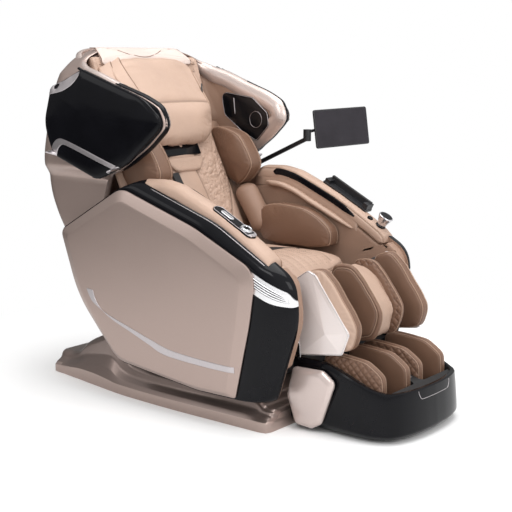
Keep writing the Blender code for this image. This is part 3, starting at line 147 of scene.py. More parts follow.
softbox("ceiling_box", (0.3, -0.2, 3.4), (0, 0, 0.4), 2.6, 62)
softbox("front_box", (-0.9, -4.2, 2.6), (0, 0, 0.6), 2.0, 46)
softbox("side_box", (-3.0, -0.6, 3.0), (-0.4, -0.2, 0.7), 1.3, 26)
softbox("rear_box", (-3.2, 2.4, 2.4), (0, 0.2, 0.6), 1.6, 10)

# ---------------------------------------------------------------- floor base
# The long sculpted shell that stands on the floor: injection-moulded ABS in two halves,
# sprayed in champagne metallic paint, with a hollow flank that sweeps up to a rear block.
CHAMPAGNE = (0.440, 0.338, 0.300)
FLAKE_SIZE = 0.0007
BASE_HALF = 0.366
BASE_STATIONS = np.array([
    (-0.306, 0.340, 0.026, 0.056), (-0.296, 0.361, 0.032, 0.066),
    (-0.262, BASE_HALF, 0.034, 0.072), (-0.232, BASE_HALF, 0.034, 0.096),
    (-0.190, BASE_HALF, 0.034, 0.102), (0.050, BASE_HALF, 0.034, 0.102),
    (0.250, 0.360, 0.034, 0.102), (0.350, 0.354, 0.035, 0.110),
    (0.415, 0.347, 0.037, 0.148), (0.450, 0.342, 0.040, 0.196),
    (0.475, 0.338, 0.042, 0.208), (0.555, 0.325, 0.046, 0.178),
    (0.640, 0.311, 0.044, 0.138), (0.700, 0.302, 0.038, 0.092),
    (0.745, 0.295, 0.032, 0.080), (0.804, 0.286, 0.028, 0.078),
    (0.812, 0.278, 0.022, 0.072)])


def shader(name, colour, roughness, **sockets):
    """A material with one Principled shader. Returns the material, its tree and the shader."""
    made = bpy.data.materials.new(name)
    made.use_nodes = True
    made.diffuse_color = (*colour, 1)
    nodes = made.node_tree
    surface = nodes.nodes["Principled BSDF"]
    surface.inputs["Base Color"].default_value = (*colour, 1)
    surface.inputs["Roughness"].default_value = roughness
    for socket, value in sockets.items():
        surface.inputs[socket.replace("_", " ")].default_value = value
    return made, nodes, surface


def pattern(tree, kind, size, **sockets):
    """A texture node on object coordinates whose cells are about size metres wide."""
    texture = new_node(tree, "ShaderNodeTex" + kind, Scale=1 / size, **sockets)
    wired(tree, (new_node(tree, "ShaderNodeTexCoord"), "Object", texture, "Vector"))
    return texture


def spread(tree, source, low, high, start=0.0, end=1.0):
    """Map a texture's value from start...end to low...high."""
    ramp = new_node(tree, "ShaderNodeMapRange", From_Min=start, From_Max=end, To_Min=low, To_Max=high)
    tree.links.new(source, ramp.inputs["Value"])
    return ramp.outputs["Result"]


def tinted(tree, surface, colour, factor):
    """Make the colour vary by a factor, for small changes of tone over a surface."""
    toned = new_node(tree, "ShaderNodeVectorMath", "SCALE")
    toned.inputs[0].default_value = colour
    tree.links.new(factor, toned.inputs["Scale"])
    tree.links.new(toned.outputs[0], surface.inputs["Base Color"])


def worn(tree, surface, roughness, less, more, source, start=0.0, end=1.0):
    """Make the roughness vary with a texture, by a little less and a little more."""
    tree.links.new(spread(tree, source, roughness - less, roughness + more, start, end),
                   surface.inputs["Roughness"])


def relief(tree, surface, source, depth, under=None):
    """Feed a height into the shader's normal, on top of an earlier bump."""
    bump = new_node(tree, "ShaderNodeBump", Distance=depth)
    tree.links.new(source, bump.inputs["Height"])
    if under:
        tree.links.new(under.outputs[0], bump.inputs["Normal"])
    tree.links.new(bump.outputs[0], surface.inputs["Normal"])
    return bump


def painted(name, colour, metallic, roughness):
    """Metallic paint: fine flakes in the colour, a slow orange peel in the clear coat."""
    made, tree, surface = shader(name, colour, roughness, Metallic=metallic,
                                 Coat_Weight=0.25, Coat_Roughness=0.14)
    flake = pattern(tree, "Voronoi", FLAKE_SIZE)
    cloud = pattern(tree, "Noise", 0.35, Detail=2.0)
    tone = new_node(tree, "ShaderNodeMath")
    tree.links.new(spread(tree, flake.outputs["Color"], 0.955, 1.045), tone.inputs[0])
    tree.links.new(spread(tree, cloud.outputs["Fac"], -0.03, 0.03), tone.inputs[1])
    tinted(tree, surface, colour, tone.outputs[0])
    worn(tree, surface, roughness, 0.03, 0.04, cloud.outputs["Fac"])
    peel = pattern(tree, "Noise", 0.006, Detail=1.0)
    relief(tree, surface, peel.outputs["Fac"], 0.00004)
    return made


champagne_paint = painted("champagne_paint", CHAMPAGNE, 0.70, 0.34)


def keep(data, name, finish, body=None, sharp=34):
    """Turn a mesh into a piece that rides on a body. Takes a bmesh or a mesh."""
    if isinstance(data, bmesh.types.BMesh):
        mesh = bpy.data.meshes.new(name)
        data.to_mesh(mesh)
        data.free()
    else:
        mesh = data
        mesh.name = name
    mesh.materials.clear()
    mesh.materials.append(finish)
    mesh.shade_smooth()
    if sharp:
        mesh.set_sharp_from_angle(angle=math.radians(sharp))
    made = bpy.data.objects.new(name, mesh)
    bpy.context.scene.collection.objects.link(made)
    if body:
        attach(made, body)
    return made


def trim(node, *piece):
    """A small piece that sits on a solid's own piece. Takes the node, which is not used, and what keep
    takes.
    """
    keep(*piece)


def stuffed(node, fill, *piece):
    """A stuffed piece with no solid of its own: the node beside it, which is not used, and what keep
    takes.
    """
    made = keep(*piece)
    return made


def two_tone(made, second, test):
    """Give the faces whose middle passes a test a second finish."""
    made.data.materials.append(second)
    for face in made.data.polygons:
        if test(face.center, face.normal):
            face.material_index = 1


def plain(made):
    """Apply every modifier of a piece."""
    bpy.context.view_layer.update()
    graph = bpy.context.evaluated_depsgraph_get()
    result = bpy.data.meshes.new_from_object(made.evaluated_get(graph), depsgraph=graph)
    made.modifiers.clear()
    made.data = result
    return made


def merged(node):
    """A copy of a solid's mesh with its doubled corners joined and flat faces made whole."""
    mesh = bmesh.new()
    mesh.from_mesh(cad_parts[node].data)
    bmesh.ops.remove_doubles(mesh, verts=mesh.verts, dist=0.00002)
    bmesh.ops.dissolve_limit(mesh, angle_limit=math.radians(0.4), verts=mesh.verts,
                             edges=mesh.edges)
    return mesh


def moulding(node, finish, body, edge=0.0015, sharp=28):
    """A moulded part: the solid's own form with its hard edges rounded over."""
    made = keep(merged(node), node.replace("_shell", "") + "_moulding", finish, None, sharp)
    bevel = made.modifiers.new("rounded", "BEVEL")
    bevel.width = edge
    bevel.segments = 3
    bevel.limit_method = "ANGLE"
    bevel.angle_limit = math.radians(sharp)
    bevel.use_clamp_overlap = True
    weigh = made.modifiers.new("shading", "WEIGHTED_NORMAL")
    weigh.keep_sharp = False
    plain(made)
    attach(made, body)
    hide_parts(node)
    return made


def rounded(corners, steps=10):
    """Points of a closed outline whose corners are (a, b, radius)."""
    points = []
    for index, (a, b, radius) in enumerate(corners):
        corner = Vector((a, b))
        before = Vector(corners[index - 1][:2]) - corner
        after = Vector(corners[(index + 1) % len(corners)][:2]) - corner
        reach = radius / math.tan(before.angle(after) / 2)
        reach = min(reach, 0.48 * before.length, 0.48 * after.length)
        start = corner + before.normalized() * reach
        end = corner + after.normalized() * reach
        for step in range(steps + 1):
            t = step / steps
            points.append(start * (1 - t) ** 2 + corner * 2 * t * (1 - t) + end * t * t)
    return points


def inset(points, distance):
    """Move every point of a closed outline towards its inside."""
    area = sum(p.x * q.y - q.x * p.y for p, q in zip(points, points[1:] + points[:1]))
    turn = 1 if area > 0 else -1
    moved = []
    for index, point in enumerate(points):
        along = (points[(index + 1) % len(points)] - points[index - 1]).normalized()
        moved.append(point + turn * distance * Vector((-along.y, along.x)))
    return moved


def drawn_in(points, factor):
    """Shrink an outline towards its middle."""
    middle = sum(points, Vector((0, 0))) / len(points)
    return [middle + (point - middle) * factor for point in points]


def mixed_outline(first, second, share):
    """An outline part of the way from one to another."""
    return [p.lerp(q, share) for p, q in zip(first, second)]


def stood_up(points, x, slope=0.0, slope_from=0.0):
    """Stand a (y, z) outline up at a distance x from the middle of the chair."""
    return [Vector((x + slope * (p.x - slope_from), p.x, p.y)) for p in points]


def lofted(rings):
    """A closed shell through rings with equal numbers of points."""
    mesh = bmesh.new()
    rows = [[mesh.verts.new(point) for point in ring] for ring in rings]
    count = len(rows[0])
    for low, high in zip(rows, rows[1:]):
        for index in range(count):
            other = (index + 1) % count
            mesh.faces.new((low[index], low[other], high[other], high[index]))
    mesh.faces.new(rows[0])
    mesh.faces.new(rows[-1])
    bmesh.ops.recalc_face_normals(mesh, faces=mesh.faces)
    return mesh


def other_hand(mesh):
    """Flip a mesh to the other side of the chair, still facing out."""
    bmesh.ops.scale(mesh, vec=(-1, 1, 1), verts=mesh.verts)
    bmesh.ops.reverse_faces(mesh, faces=mesh.faces)
    return mesh


HANDS = ((-1, "right", other_hand), (1, "left", lambda mesh: mesh))


def eased(known, values, wanted):
    """Smooth values between known ones, without overshoot (monotone cubic)."""
    known, values = np.asarray(known, float), np.asarray(values, float)
    step = np.diff(known)
    slope = np.diff(values) / step
    lean = np.zeros(len(known))
    for index in range(1, len(known) - 1):
        if slope[index - 1] * slope[index] > 0:
            one = 2 * step[index] + step[index - 1]
            two = step[index] + 2 * step[index - 1]
            lean[index] = (one + two) / (one / slope[index - 1] + two / slope[index])
    lean[0], lean[-1] = slope[0], slope[-1]
    spot = np.clip(np.searchsorted(known, wanted) - 1, 0, len(step) - 1)
    gap = step[spot]
    t = (wanted - known[spot]) / gap
    return ((1 + 2 * t) * (1 - t) ** 2 * values[spot] + t * (1 - t) ** 2 * gap * lean[spot]
            + t * t * (3 - 2 * t) * values[spot + 1] + t * t * (t - 1) * gap * lean[spot + 1])


def cut_out(made, *tools, cutter_finish=champagne_paint, operation="DIFFERENCE"):
    """Take tools (bmeshes) away from a piece, or keep only what is inside them."""
    for tool in tools:
        cutter = keep(tool, "cutter", cutter_finish)
        hole = made.modifiers.new("cut", "BOOLEAN")
        hole.operation = operation
        hole.solver = "EXACT"
        hole.object = cutter
        plain(made)
        bpy.data.objects.remove(cutter)
    made.data.shade_smooth()
    made.data.set_sharp_from_angle(angle=math.radians(30))
    return made


def rotation(degrees, axis):
    return Matrix.Rotation(math.radians(degrees), 4, axis)


def circle(count):
    """Even angles of a full turn."""
    return np.linspace(0, 2 * math.pi, count, endpoint=False)


def bar(low, high):
    """A plain rectangular cutter between two corners."""
    mesh = bmesh.new()
    low, high = Vector(low), Vector(high)
    size = Matrix.Diagonal((*(high - low), 1))
    bmesh.ops.create_cube(mesh, size=1, matrix=Matrix.Translation((low + high) / 2) @ size)
    return mesh


def base_rings():
    """Cross sections of the base from front to rear, its ends eased over."""
    known = BASE_STATIONS[:, 0]
    wanted = np.unique(np.concatenate([np.linspace(a, b, 7) for a, b in zip(known, known[1:])]))
    rows = [eased(known, BASE_STATIONS[:, column], wanted) for column in (1, 2, 3)]
    rings = []
    for y, half, flange, top in zip(wanted, *rows):
        body = half - 0.034
        rise = top - flange
        side = [(half, 0.0, 0.002), (half, flange, 0.004), (half - 0.012, flange + 0.22 * rise, 0.02),
                (body, flange + 0.45 * rise, 0.03), (body - 0.006, flange + 0.85 * rise, 0.02),
                (body - 0.024, top, 0.016)]
        ring = side + [(-x, z, r) for x, z, r in reversed(side)]
        rings.append([Vector((p.x, y, p.y)) for p in rounded(ring, 4)])
    return rings


base_piece = keep(lofted(base_rings()), "base_moulding", champagne_paint, None, 30)
# Above its bright foot flange the shell takes a darker copy of the paint: painted shade, for the shadow
# that the seat casts over the base.
painted_shade_on_base = painted("champagne_in_painted_shade", (0.270, 0.205, 0.182), 0.75, 0.30)
two_tone(base_piece, painted_shade_on_base, lambda p, n: p.z > 0.036)
cut_out(base_piece, bar((-0.235, 0.7638, -0.01), (0.235, 0.7762, 0.0423)),
        *[bar((x - 0.021, 0.732, -0.01), (x + 0.021, 0.806, 0.0715)) for x in (-0.205, 0.205)])
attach(base_piece, "base")
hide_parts("base_shell")


def smooth_line(points, spacing, closed=False):
    """An even run of points along a soft curve through the given ones (Catmull-Rom)."""
    points = as_array(points).astype(float)
    count = len(points)
    dense = []
    for index in range(count if closed else count - 1):
        around = [(index + k) % count if closed else min(max(index + k, 0), count - 1)
                  for k in (-1, 0, 1, 2)]
        a, b, c, d = points[around]
        for t in np.linspace(0, 1, 12, endpoint=False):
            dense.append(0.5 * (2 * b + (c - a) * t + (2 * a - 5 * b + 4 * c - d) * t * t
                                + (3 * b - a - 3 * c + d) * t ** 3))
    dense.append(points[0] if closed else points[-1])
    dense = np.array(dense)
    run = np.concatenate([[0], np.cumsum(np.linalg.norm(np.diff(dense, axis=0), axis=1))])
    total = max(int(round(run[-1] / spacing)), 3)
    marks = np.linspace(0, run[-1], total + 1)
    if closed:
        marks = marks[:-1]
    return np.stack([np.interp(marks, run, dense[:, axis]) for axis in range(3)], axis=1)


def tube(points, radius, closed=False, sides=8):
    """A round bead along a run of points."""
    points = np.asarray(points, float)
    count = len(points)
    if closed:
        along = np.roll(points, -1, axis=0) - np.roll(points, 1, axis=0)
    else:
        along = np.gradient(points, axis=0)
    along /= np.linalg.norm(along, axis=1, keepdims=True) + 1e-12
    side = np.cross(along[0], (0.31, 0.17, 0.93))
    rings = []
    for index in range(count):
        side = side - along[index] * side.dot(along[index])
        side /= np.linalg.norm(side) + 1e-12
        other = np.cross(along[index], side)
        turn = circle(sides)[:, None]
        rings.append(points[index] + radius * (np.cos(turn) * side + np.sin(turn) * other))
    mesh = bmesh.new()
    rows = [[mesh.verts.new(p) for p in ring] for ring in rings]
    pairs = list(zip(rows, rows[1:]))
    if closed:
        last, first = rings[-1], rings[0]
        shift = min(range(sides), key=lambda s: np.linalg.norm(np.roll(first, -s, axis=0) - last))
        pairs.append((rows[-1], rows[0][shift:] + rows[0][:shift]))
    for low, high in pairs:
        for index in range(sides):
            other = (index + 1) % sides
            mesh.faces.new((low[index], low[other], high[other], high[index]))
    if not closed:
        mesh.faces.new(rows[0])
        mesh.faces.new(rows[-1])
    bmesh.ops.recalc_face_normals(mesh, faces=mesh.faces)
    return mesh


class Surface:
    """The outer surface of finished pieces, for laying trim and seams on it."""

    def __init__(self, *pieces):
        corners, faces = [], []
        for piece in pieces:
            start = len(corners)
            corners += [v.co.copy() for v in piece.data.vertices]
            faces += [[start + v for v in f.vertices] for f in piece.data.polygons]
        self.tree = BVHTree.FromPolygons(corners, faces)

    def nearest(self, point, lift=0.0):
        spot, normal, _, _ = self.tree.find_nearest(Vector(point))
        return spot + normal * lift

    def below(self, x, y, lift=0.0):
        """The highest point over (x, y), or None."""
        return self.along((x, y, 0.9), (0, 0, -1), lift)

    def along(self, point, direction, lift=0.0):
        """Where a ray from the point meets the surface, or None."""
        spot = self.tree.ray_cast(Vector(point), Vector(direction))[0]
        return None if spot is None else spot - Vector(direction).normalized() * lift


def joined(meshes):
    """One mesh out of several, for beads that are one piece."""
    whole = bmesh.new()
    for mesh in meshes:
        part = bpy.data.meshes.new("part")
        mesh.to_mesh(part)
        mesh.free()
        whole.from_mesh(part)
        bpy.data.meshes.remove(part)
    return whole


def as_array(points):
    return np.array([tuple(p) for p in points])


def laid_strip(first, second, outside, lift, sink, across=4):
    """A thin raised strip between two matched runs of points that already lie on a surface.

    outside is a direction that points away from the surface; lift and sink are distances
    above and below it.
    """
    rings = []
    count = len(first)
    for index in range(count):
        a, b = Vector(first[index]), Vector(second[index])
        before, after = Vector(first[max(index - 1, 0)]), Vector(first[min(index + 1, count - 1)])
        out = (after - before).cross(b - a).normalized()
        if out.dot(Vector(outside)) < 0:
            out = -out
        edge = min(0.25, 0.0015 / max((b - a).length, 1e-6))
        shares = [0.0, edge] + list(np.linspace(edge, 1 - edge, across)[1:-1]) + [1 - edge, 1.0]
        top = []
        for number, share in enumerate(shares):
            rise = lift if 0 < number < len(shares) - 1 else lift * 0.35
            top.append(a.lerp(b, share) + out * rise)
        rings.append(top + [b - out * sink, a - out * sink])
    return lofted(rings)


# ---------------------------------------------------------------- hidden metalwork
# Chassis, seat frame, roller track and calf frame: welded steel in grey powder coat, with
# bright turned shafts. The kneading carriage and its arms are black plastic, the wheels and
# rollers rubber.
def coated_metal(name, colour, metallic, roughness, grain):
    made, tree, surface = shader(name, colour, roughness, Metallic=metallic)
    speck = pattern(tree, "Noise", grain, Detail=3.0)
    tinted(tree, surface, colour, spread(tree, speck.outputs["Fac"], 0.85, 1.15))
    worn(tree, surface, roughness, 0.08, 0.08, speck.outputs["Fac"])
    relief(tree, surface, speck.outputs["Fac"], 0.0001)
    return made


grey_coat = coated_metal("grey_powder_coat", (0.12, 0.12, 0.125), 0.35, 0.45, 0.0012)
bright_steel = coated_metal("bright_steel", (0.62, 0.62, 0.64), 1.0, 0.20, 0.004)
black_plastic = coated_metal("black_grained_plastic", (0.012, 0.012, 0.014), 0.0, 0.42, 0.0009)
wheel_rubber = coated_metal("wheel_rubber", (0.022, 0.022, 0.022), 0.0, 0.68, 0.0015)


def dress(node, finish):
    """Give a solid that is shown as it is its real finish."""
    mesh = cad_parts[node].data
    mesh.materials.clear()
    mesh.materials.append(finish)


for node in ("base_chassis", "seat_frame", "roller_track", "calf_frame"):
    dress(node, grey_coat)
dress("foot_slide_rods", bright_steel)
for node in ("massage_carriage", "kneading_arm_right", "kneading_arm_left"):
    dress(node, black_plastic)
for node in ("transport_wheels", "foot_roller", "roller_lower_right", "roller_upper_right",
             "roller_lower_left", "roller_upper_left"):
    dress(node, wheel_rubber)


# ---------------------------------------------------------------- side covers
# Each arm is a gloss black carcass, 60 mm thick, with a champagne cover panel clipped over
# it. The carcass is rounded over on the outside and cut away for the armrest and the lamp.
GLOSS = (0.0042, 0.0042, 0.0056)
SEAT_HALF = 0.300
LINING_X = SEAT_HALF + 0.0365
BAND_X = LINING_X + 0.0005
BAND_OUT = BAND_X + 0.0625
PANEL_X = BAND_OUT + 0.0005
PANEL_OUT = PANEL_X + 0.0195
ARM_X = SEAT_HALF - 0.002
ARM_OUT = ARM_X + 0.0765
PANEL_EDGE = [
    (0.612, 0.590, 0.03), (0.300, 0.766, 0.09), (-0.030, 0.660, 0.50),
    (-0.292, 0.540, 0.08), (-0.264, 0.360, 0.50), (-0.207, 0.112, 0.012),
    (-0.040, 0.111, 0.40), (0.335, 0.152, 0.12), (0.530, 0.362, 0.40)]
PANEL_FACE = [
    (0.572, 0.577, 0.03), (0.298, 0.726, 0.08), (-0.020, 0.622, 0.50),
    (-0.240, 0.514, 0.07), (-0.218, 0.350, 0.50), (-0.178, 0.127, 0.012),
    (-0.030, 0.126, 0.40), (0.325, 0.167, 0.12), (0.502, 0.366, 0.40)]
BAND_EDGE = [
    (0.622, 0.590, 0.03), (0.235, 0.803, 0.09), (-0.140, 0.676, 0.50),
    (-0.402, 0.520, 0.10), (-0.420, 0.385, 0.40), (-0.330, 0.104, 0.05),
    (-0.040, 0.106, 0.40), (0.338, 0.147, 0.12), (0.537, 0.358, 0.40)]
ARM_LINE = [
    (0.262, 0.778), (0.236, 0.794), (0.150, 0.797), (0.080, 0.783), (-0.020, 0.742),
    (-0.100, 0.706), (-0.180, 0.664), (-0.250, 0.622), (-0.300, 0.590), (-0.320, 0.572)]


def lacquer(name, colour, roughness=0.08, gloss=0.17):
    """High-gloss plastic with the faint waviness and fine wiping marks of real lacquer."""
    made, tree, surface = shader(name, colour, roughness, IOR=1.5, Specular_IOR_Level=gloss)
    haze = pattern(tree, "Noise", 0.09, Detail=4.0, Roughness=0.6)
    worn(tree, surface, roughness, 0.02, 0.05, haze.outputs["Fac"], 0.3, 0.7)
    tinted(tree, surface, colour, spread(tree, haze.outputs["Fac"], 0.85, 1.2, 0.3, 0.7))
    wave = pattern(tree, "Noise", 0.030, Detail=0.0)
    relief(tree, surface, wave.outputs["Fac"], 0.00005)
    return made


gloss_black = lacquer("gloss_black", GLOSS)


def silver_trim(name, colour, roughness):
    """Satin silver film on a plastic strip, with a fine brushed grain."""
    made, tree, surface = shader(name, colour, roughness, Metallic=0.9)
    grain = pattern(tree, "Noise", 0.0016, Detail=3.0)
    tinted(tree, surface, colour, spread(tree, grain.outputs["Fac"], 0.92, 1.08, 0.3, 0.7))
    worn(tree, surface, roughness, 0.05, 0.07, grain.outputs["Fac"])
    return made


satin_silver = silver_trim("satin_silver", (0.56, 0.52, 0.53), 0.30)
chrome = silver_trim("chrome_bead", (0.72, 0.72, 0.74), 0.10)


def arm_line(grow=0.0, low=ARM_X, high=ARM_OUT, steps=4):
    """The bar of the armrest: a crowned top that follows the arm line from rear to front."""
    known = [-y for y, _ in ARM_LINE]
    wanted = np.unique(np.concatenate([np.linspace(a, b, steps) for a, b in zip(known, known[1:])]))
    heights = eased(known, [z for _, z in ARM_LINE], wanted)
    thick = eased(known, [0.0285] + [0.046] * (len(known) - 2) + [0.0285], wanted)
    rings = []
    for index, (y, z, deep) in enumerate(zip(-wanted, heights, thick)):
        shift = grow if index == 0 else -grow if index == len(wanted) - 1 else 0.0
        a, b = low - grow, high + grow
        width = b - a
        profile = [(a, z - deep - grow, 0.004), (a, z - 0.006, 0.009),
                   (a + 0.5 * width, z + 0.004 + grow, 0.08), (b, z - 0.008, 0.009),
                   (b, z - deep - grow, 0.004)]
        rings.append([Vector((p.x, y + shift, p.y)) for p in rounded(profile, 4)])
    return lofted(rings)


PANEL_SEAT = inset(rounded(PANEL_EDGE), -0.005)


def turned_over(steps):
    """The carcass's outside, turned over from the cover panel's seat to its own edge."""
    edge = rounded(BAND_EDGE)
    turns = [math.radians(90) * step / steps for step in range(steps + 1)]
    return [stood_up(mixed_outline(PANEL_SEAT, edge, math.sin(turn)),
                     BAND_OUT - (BAND_OUT - BAND_X - 0.002) * (1 - math.cos(turn))) for turn in turns]


def band_rings():
    edge = rounded(BAND_EDGE)
    hollow = inset(edge, 0.018)
    well = mixed_outline(inset(rounded(PANEL_EDGE), 0.011), hollow, 0.25)
    return turned_over(14) + [stood_up(inset(edge, 0.0008), BAND_X + 0.0006),
                              stood_up(inset(edge, 0.0024), BAND_X),
                              stood_up(hollow, BAND_X), stood_up(well, BAND_OUT - 0.018)]


def panel_rings():
    edge, face = rounded(PANEL_EDGE), rounded(PANEL_FACE)
    rings = [stood_up(inset(edge, 0.003), PANEL_X), stood_up(inset(edge, 0.0006), PANEL_X + 0.001),
             stood_up(edge, PANEL_X + 0.003), stood_up(edge, PANEL_X + 0.0055)]
    for share in (0.04, 0.12, 0.30, 0.60, 0.86, 0.95, 1.0):
        x = PANEL_X + 0.006 + (PANEL_OUT - 0.0016 - PANEL_X - 0.006) * share ** 0.9
        rings.append(stood_up(mixed_outline(edge, face, share), x))
    for factor, out in ((0.985, 0.0011), (0.94, 0.0007), (0.80, 0.0003), (0.60, 0.0)):
        rings.append(stood_up(drawn_in(face, factor), PANEL_OUT - out))
    return rings


LAMP_EDGE = [
    (-0.215, 0.566, 0.004), (-0.394, 0.482, 0.03), (-0.425, 0.430, 0.02),
    (-0.340, 0.441, 0.20), (-0.262, 0.474, 0.02)]
STRIPE_TOP = [(0.470, 0.396), (0.456, 0.370), (0.434, 0.347), (0.364, 0.315), (0.258, 0.284),
              (0.160, 0.256), (0.066, 0.233), (-0.070, 0.223), (-0.210, 0.219)]
STRIPE_LOW = [(0.437, 0.393), (0.424, 0.360), (0.400, 0.333), (0.342, 0.299), (0.248, 0.266),
              (0.165, 0.236), (0.090, 0.211), (-0.065, 0.201), (-0.210, 0.199)]


def on_side(points, surface, side, lift=0.0, spacing=0.006):
    """Lay a (y, z) line on the outside of a side piece."""
    line = smooth_line([(0, y, z) for y, z in points], spacing)
    laid = []
    for _, y, z in line:
        spot = surface.along((side * 0.9, y, z), (-side, 0, 0), lift)
        laid.append(spot if spot else Vector((side * PANEL_OUT, y, z)))
    return laid


def matched(first, second):
    """Resample two runs of points to the same number of points."""
    count = max(len(first), len(second))
    pair = []
    for line in (first, second):
        line = as_array(line)
        marks = np.linspace(0, len(line) - 1, count)
        pair.append(np.stack([np.interp(marks, np.arange(len(line)), line[:, k])
                              for k in range(3)], axis=1))
    return pair


for side, word, handed in HANDS:
    band = keep(handed(lofted(band_rings())), "side_band_cover_" + word, gloss_black, None, 30)
    prism = [stood_up(inset(rounded(LAMP_EDGE), -0.0005), x) for x in (BAND_X - 0.02, BAND_OUT + 0.02)]
    cut_out(band, handed(lofted(prism)), handed(arm_line(0.0006)))
    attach(band, "seat")
    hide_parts("side_band_" + word)
    panel = keep(handed(lofted(panel_rings())), "side_panel_cover_" + word, champagne_paint,
                 None, 20)
    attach(panel, "seat")
    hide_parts("side_panel_" + word)
    skin_here = Surface(panel)
    top, low = matched(on_side(STRIPE_TOP, skin_here, side), on_side(STRIPE_LOW, skin_here, side))
    trim("side_panel_" + word, laid_strip(top, low, (side, 0, 0), 0.0022, 0.002),
         "side_stripe_" + word, satin_silver, "seat", 40)
    # A thin silver bead lies on the inner top edge of the carcass.
    line = smooth_line([(side * (BAND_X + 0.004), y, z + 0.001) for y, z in
                        ((0.180, 0.8065), (0.080, 0.7855), (-0.020, 0.7505), (-0.100, 0.7135),
                         (-0.180, 0.6695), (-0.250, 0.6275), (-0.310, 0.5875))], 0.008)
    shelf = Surface(band)
    found = [shelf.along((side * (ARM_OUT + 0.0075), y, z + 0.2), (0, 0, -1)) for _, y, z in line]
    bead = [spot + Vector((0, 0, 0.0006)) for spot in found if spot]
    trim("side_lamp_" + word, tube(bead, 0.0013), "band_bead_" + word, satin_silver, "seat", 0)


# ---------------------------------------------------------------- head lamps
# A bright lamp moulding let into the front of each carcass, with a stack of bright louvres in
# a darker recess.
reflector = silver_trim("lamp_reflector", (0.93, 0.93, 0.94), 0.34)


def rows_tree(name, **inputs):
    """A Geometry Nodes tree that sets copies of a small form on points and makes them real.

    Returns the tree, its entry and its node of placed copies.
    """
    tree = bpy.data.node_groups.new(name, "GeometryNodeTree")
    for label, kind in inputs.items():
        tree.interface.new_socket(label.replace("_", " "), in_out="INPUT",
                                  socket_type="NodeSocket" + kind)
    tree.interface.new_socket("Rows", in_out="OUTPUT", socket_type="NodeSocketGeometry")
    entry, out = new_node(tree, "NodeGroupInput"), new_node(tree, "NodeGroupOutput")
    placed = new_node(tree, "GeometryNodeInstanceOnPoints")
    real = new_node(tree, "GeometryNodeRealizeInstances")
    finish = new_node(tree, "GeometryNodeSetMaterial")
    wired(tree, (placed, "Instances", real, "Geometry"), (real, "Geometry", finish, "Geometry"),
          (entry, "Finish", finish, "Material"), (finish, "Geometry", out, "Rows"))
    return tree, entry, placed


def along_curve(tree, entry, placed):
    """Set the copies along the curve through the given points. Returns the curve's points."""
    curve = new_node(tree, "GeometryNodeMeshToCurve")
    points = new_node(tree, "GeometryNodeResampleCurve")
    form = new_node(tree, "GeometryNodeMeshCube")
    wired(tree, (entry, "Path", curve, "Mesh"), (curve, "Curve", points, "Curve"),
          (points, "Curve", placed, "Points"), (entry, "Size", form, "Size"),
          (form, "Mesh", placed, "Instance"))
    return points


def row_of_bars(name):
    """Bars of a given size, a given number of them along a line."""
    tree, entry, placed = rows_tree(name, Path="Geometry", Count="Int", Size="Vector",
                                    Finish="Material")
    points = along_curve(tree, entry, placed)
    wired(tree, (entry, "Count", points, "Count"))
    return tree


def run_tree(name, path, tree, body, **values):
    """Run a node tree over a line of points and keep the plain mesh it makes."""
    mesh = bpy.data.meshes.new(name)
    points = [tuple(p) for p in path]
    mesh.from_pydata(points, [(k, k + 1) for k in range(len(points) - 1)], [])
    made = bpy.data.objects.new(name, mesh)
    bpy.context.scene.collection.objects.link(made)
    nodes = made.modifiers.new("rows", "NODES")
    nodes.node_group = tree
    sockets = {item.name: item.identifier for item in tree.interface.items_tree
               if item.item_type == "SOCKET" and item.in_out == "INPUT"}
    for label, value in values.items():
        nodes[sockets[label.replace("_", " ")]] = value
    plain(made)
    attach(made, body)
    return made


LAMP_RECESS_TOP = [(-0.242, 0.540), (-0.315, 0.5055), (-0.366, 0.481), (-0.392, 0.464)]
LAMP_RECESS_LOW = [(-0.272, 0.492), (-0.330, 0.466), (-0.372, 0.452), (-0.396, 0.447)]
recess_grey = silver_trim("lamp_recess", (0.075, 0.075, 0.085), 0.24)
for side, word, handed in HANDS:
    rings = turned_over(10) + [stood_up(inset(rounded(BAND_EDGE), 0.012), BAND_X + 0.002),
                               stood_up(inset(PANEL_SEAT, 0.012), BAND_OUT - 0.011)]
    lamp_body = keep(handed(lofted(rings)), "lamp_body_" + word, reflector, None, 30)
    window = [stood_up(inset(rounded(LAMP_EDGE), 0.0012), x) for x in (BAND_X - 0.03, BAND_OUT + 0.03)]
    cut_out(lamp_body, handed(lofted(window)), cutter_finish=reflector, operation="INTERSECT")
    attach(lamp_body, "seat")
    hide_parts("side_lamp_" + word)
    lamp_skin = Surface(lamp_body)
    top, low = matched(on_side(LAMP_RECESS_TOP, lamp_skin, side, 0.0, 0.004),
                       on_side(LAMP_RECESS_LOW, lamp_skin, side, 0.0, 0.004))
    trim("side_lamp_" + word, laid_strip(top, low, (side, 0, 0), 0.0010, 0.004),
         "lamp_recess_" + word, recess_grey, "seat", 40)
    louvres = [tube([Vector(a).lerp(Vector(b), share) + Vector((side * 0.0018, -0.0008, 0.0006))
                     for a, b in zip(top, low)], 0.0022) for share in (0.12, 0.37, 0.62, 0.87)]
    trim("side_lamp_" + word, joined(louvres), "lamp_louvres_" + word, reflector, "seat", 0)


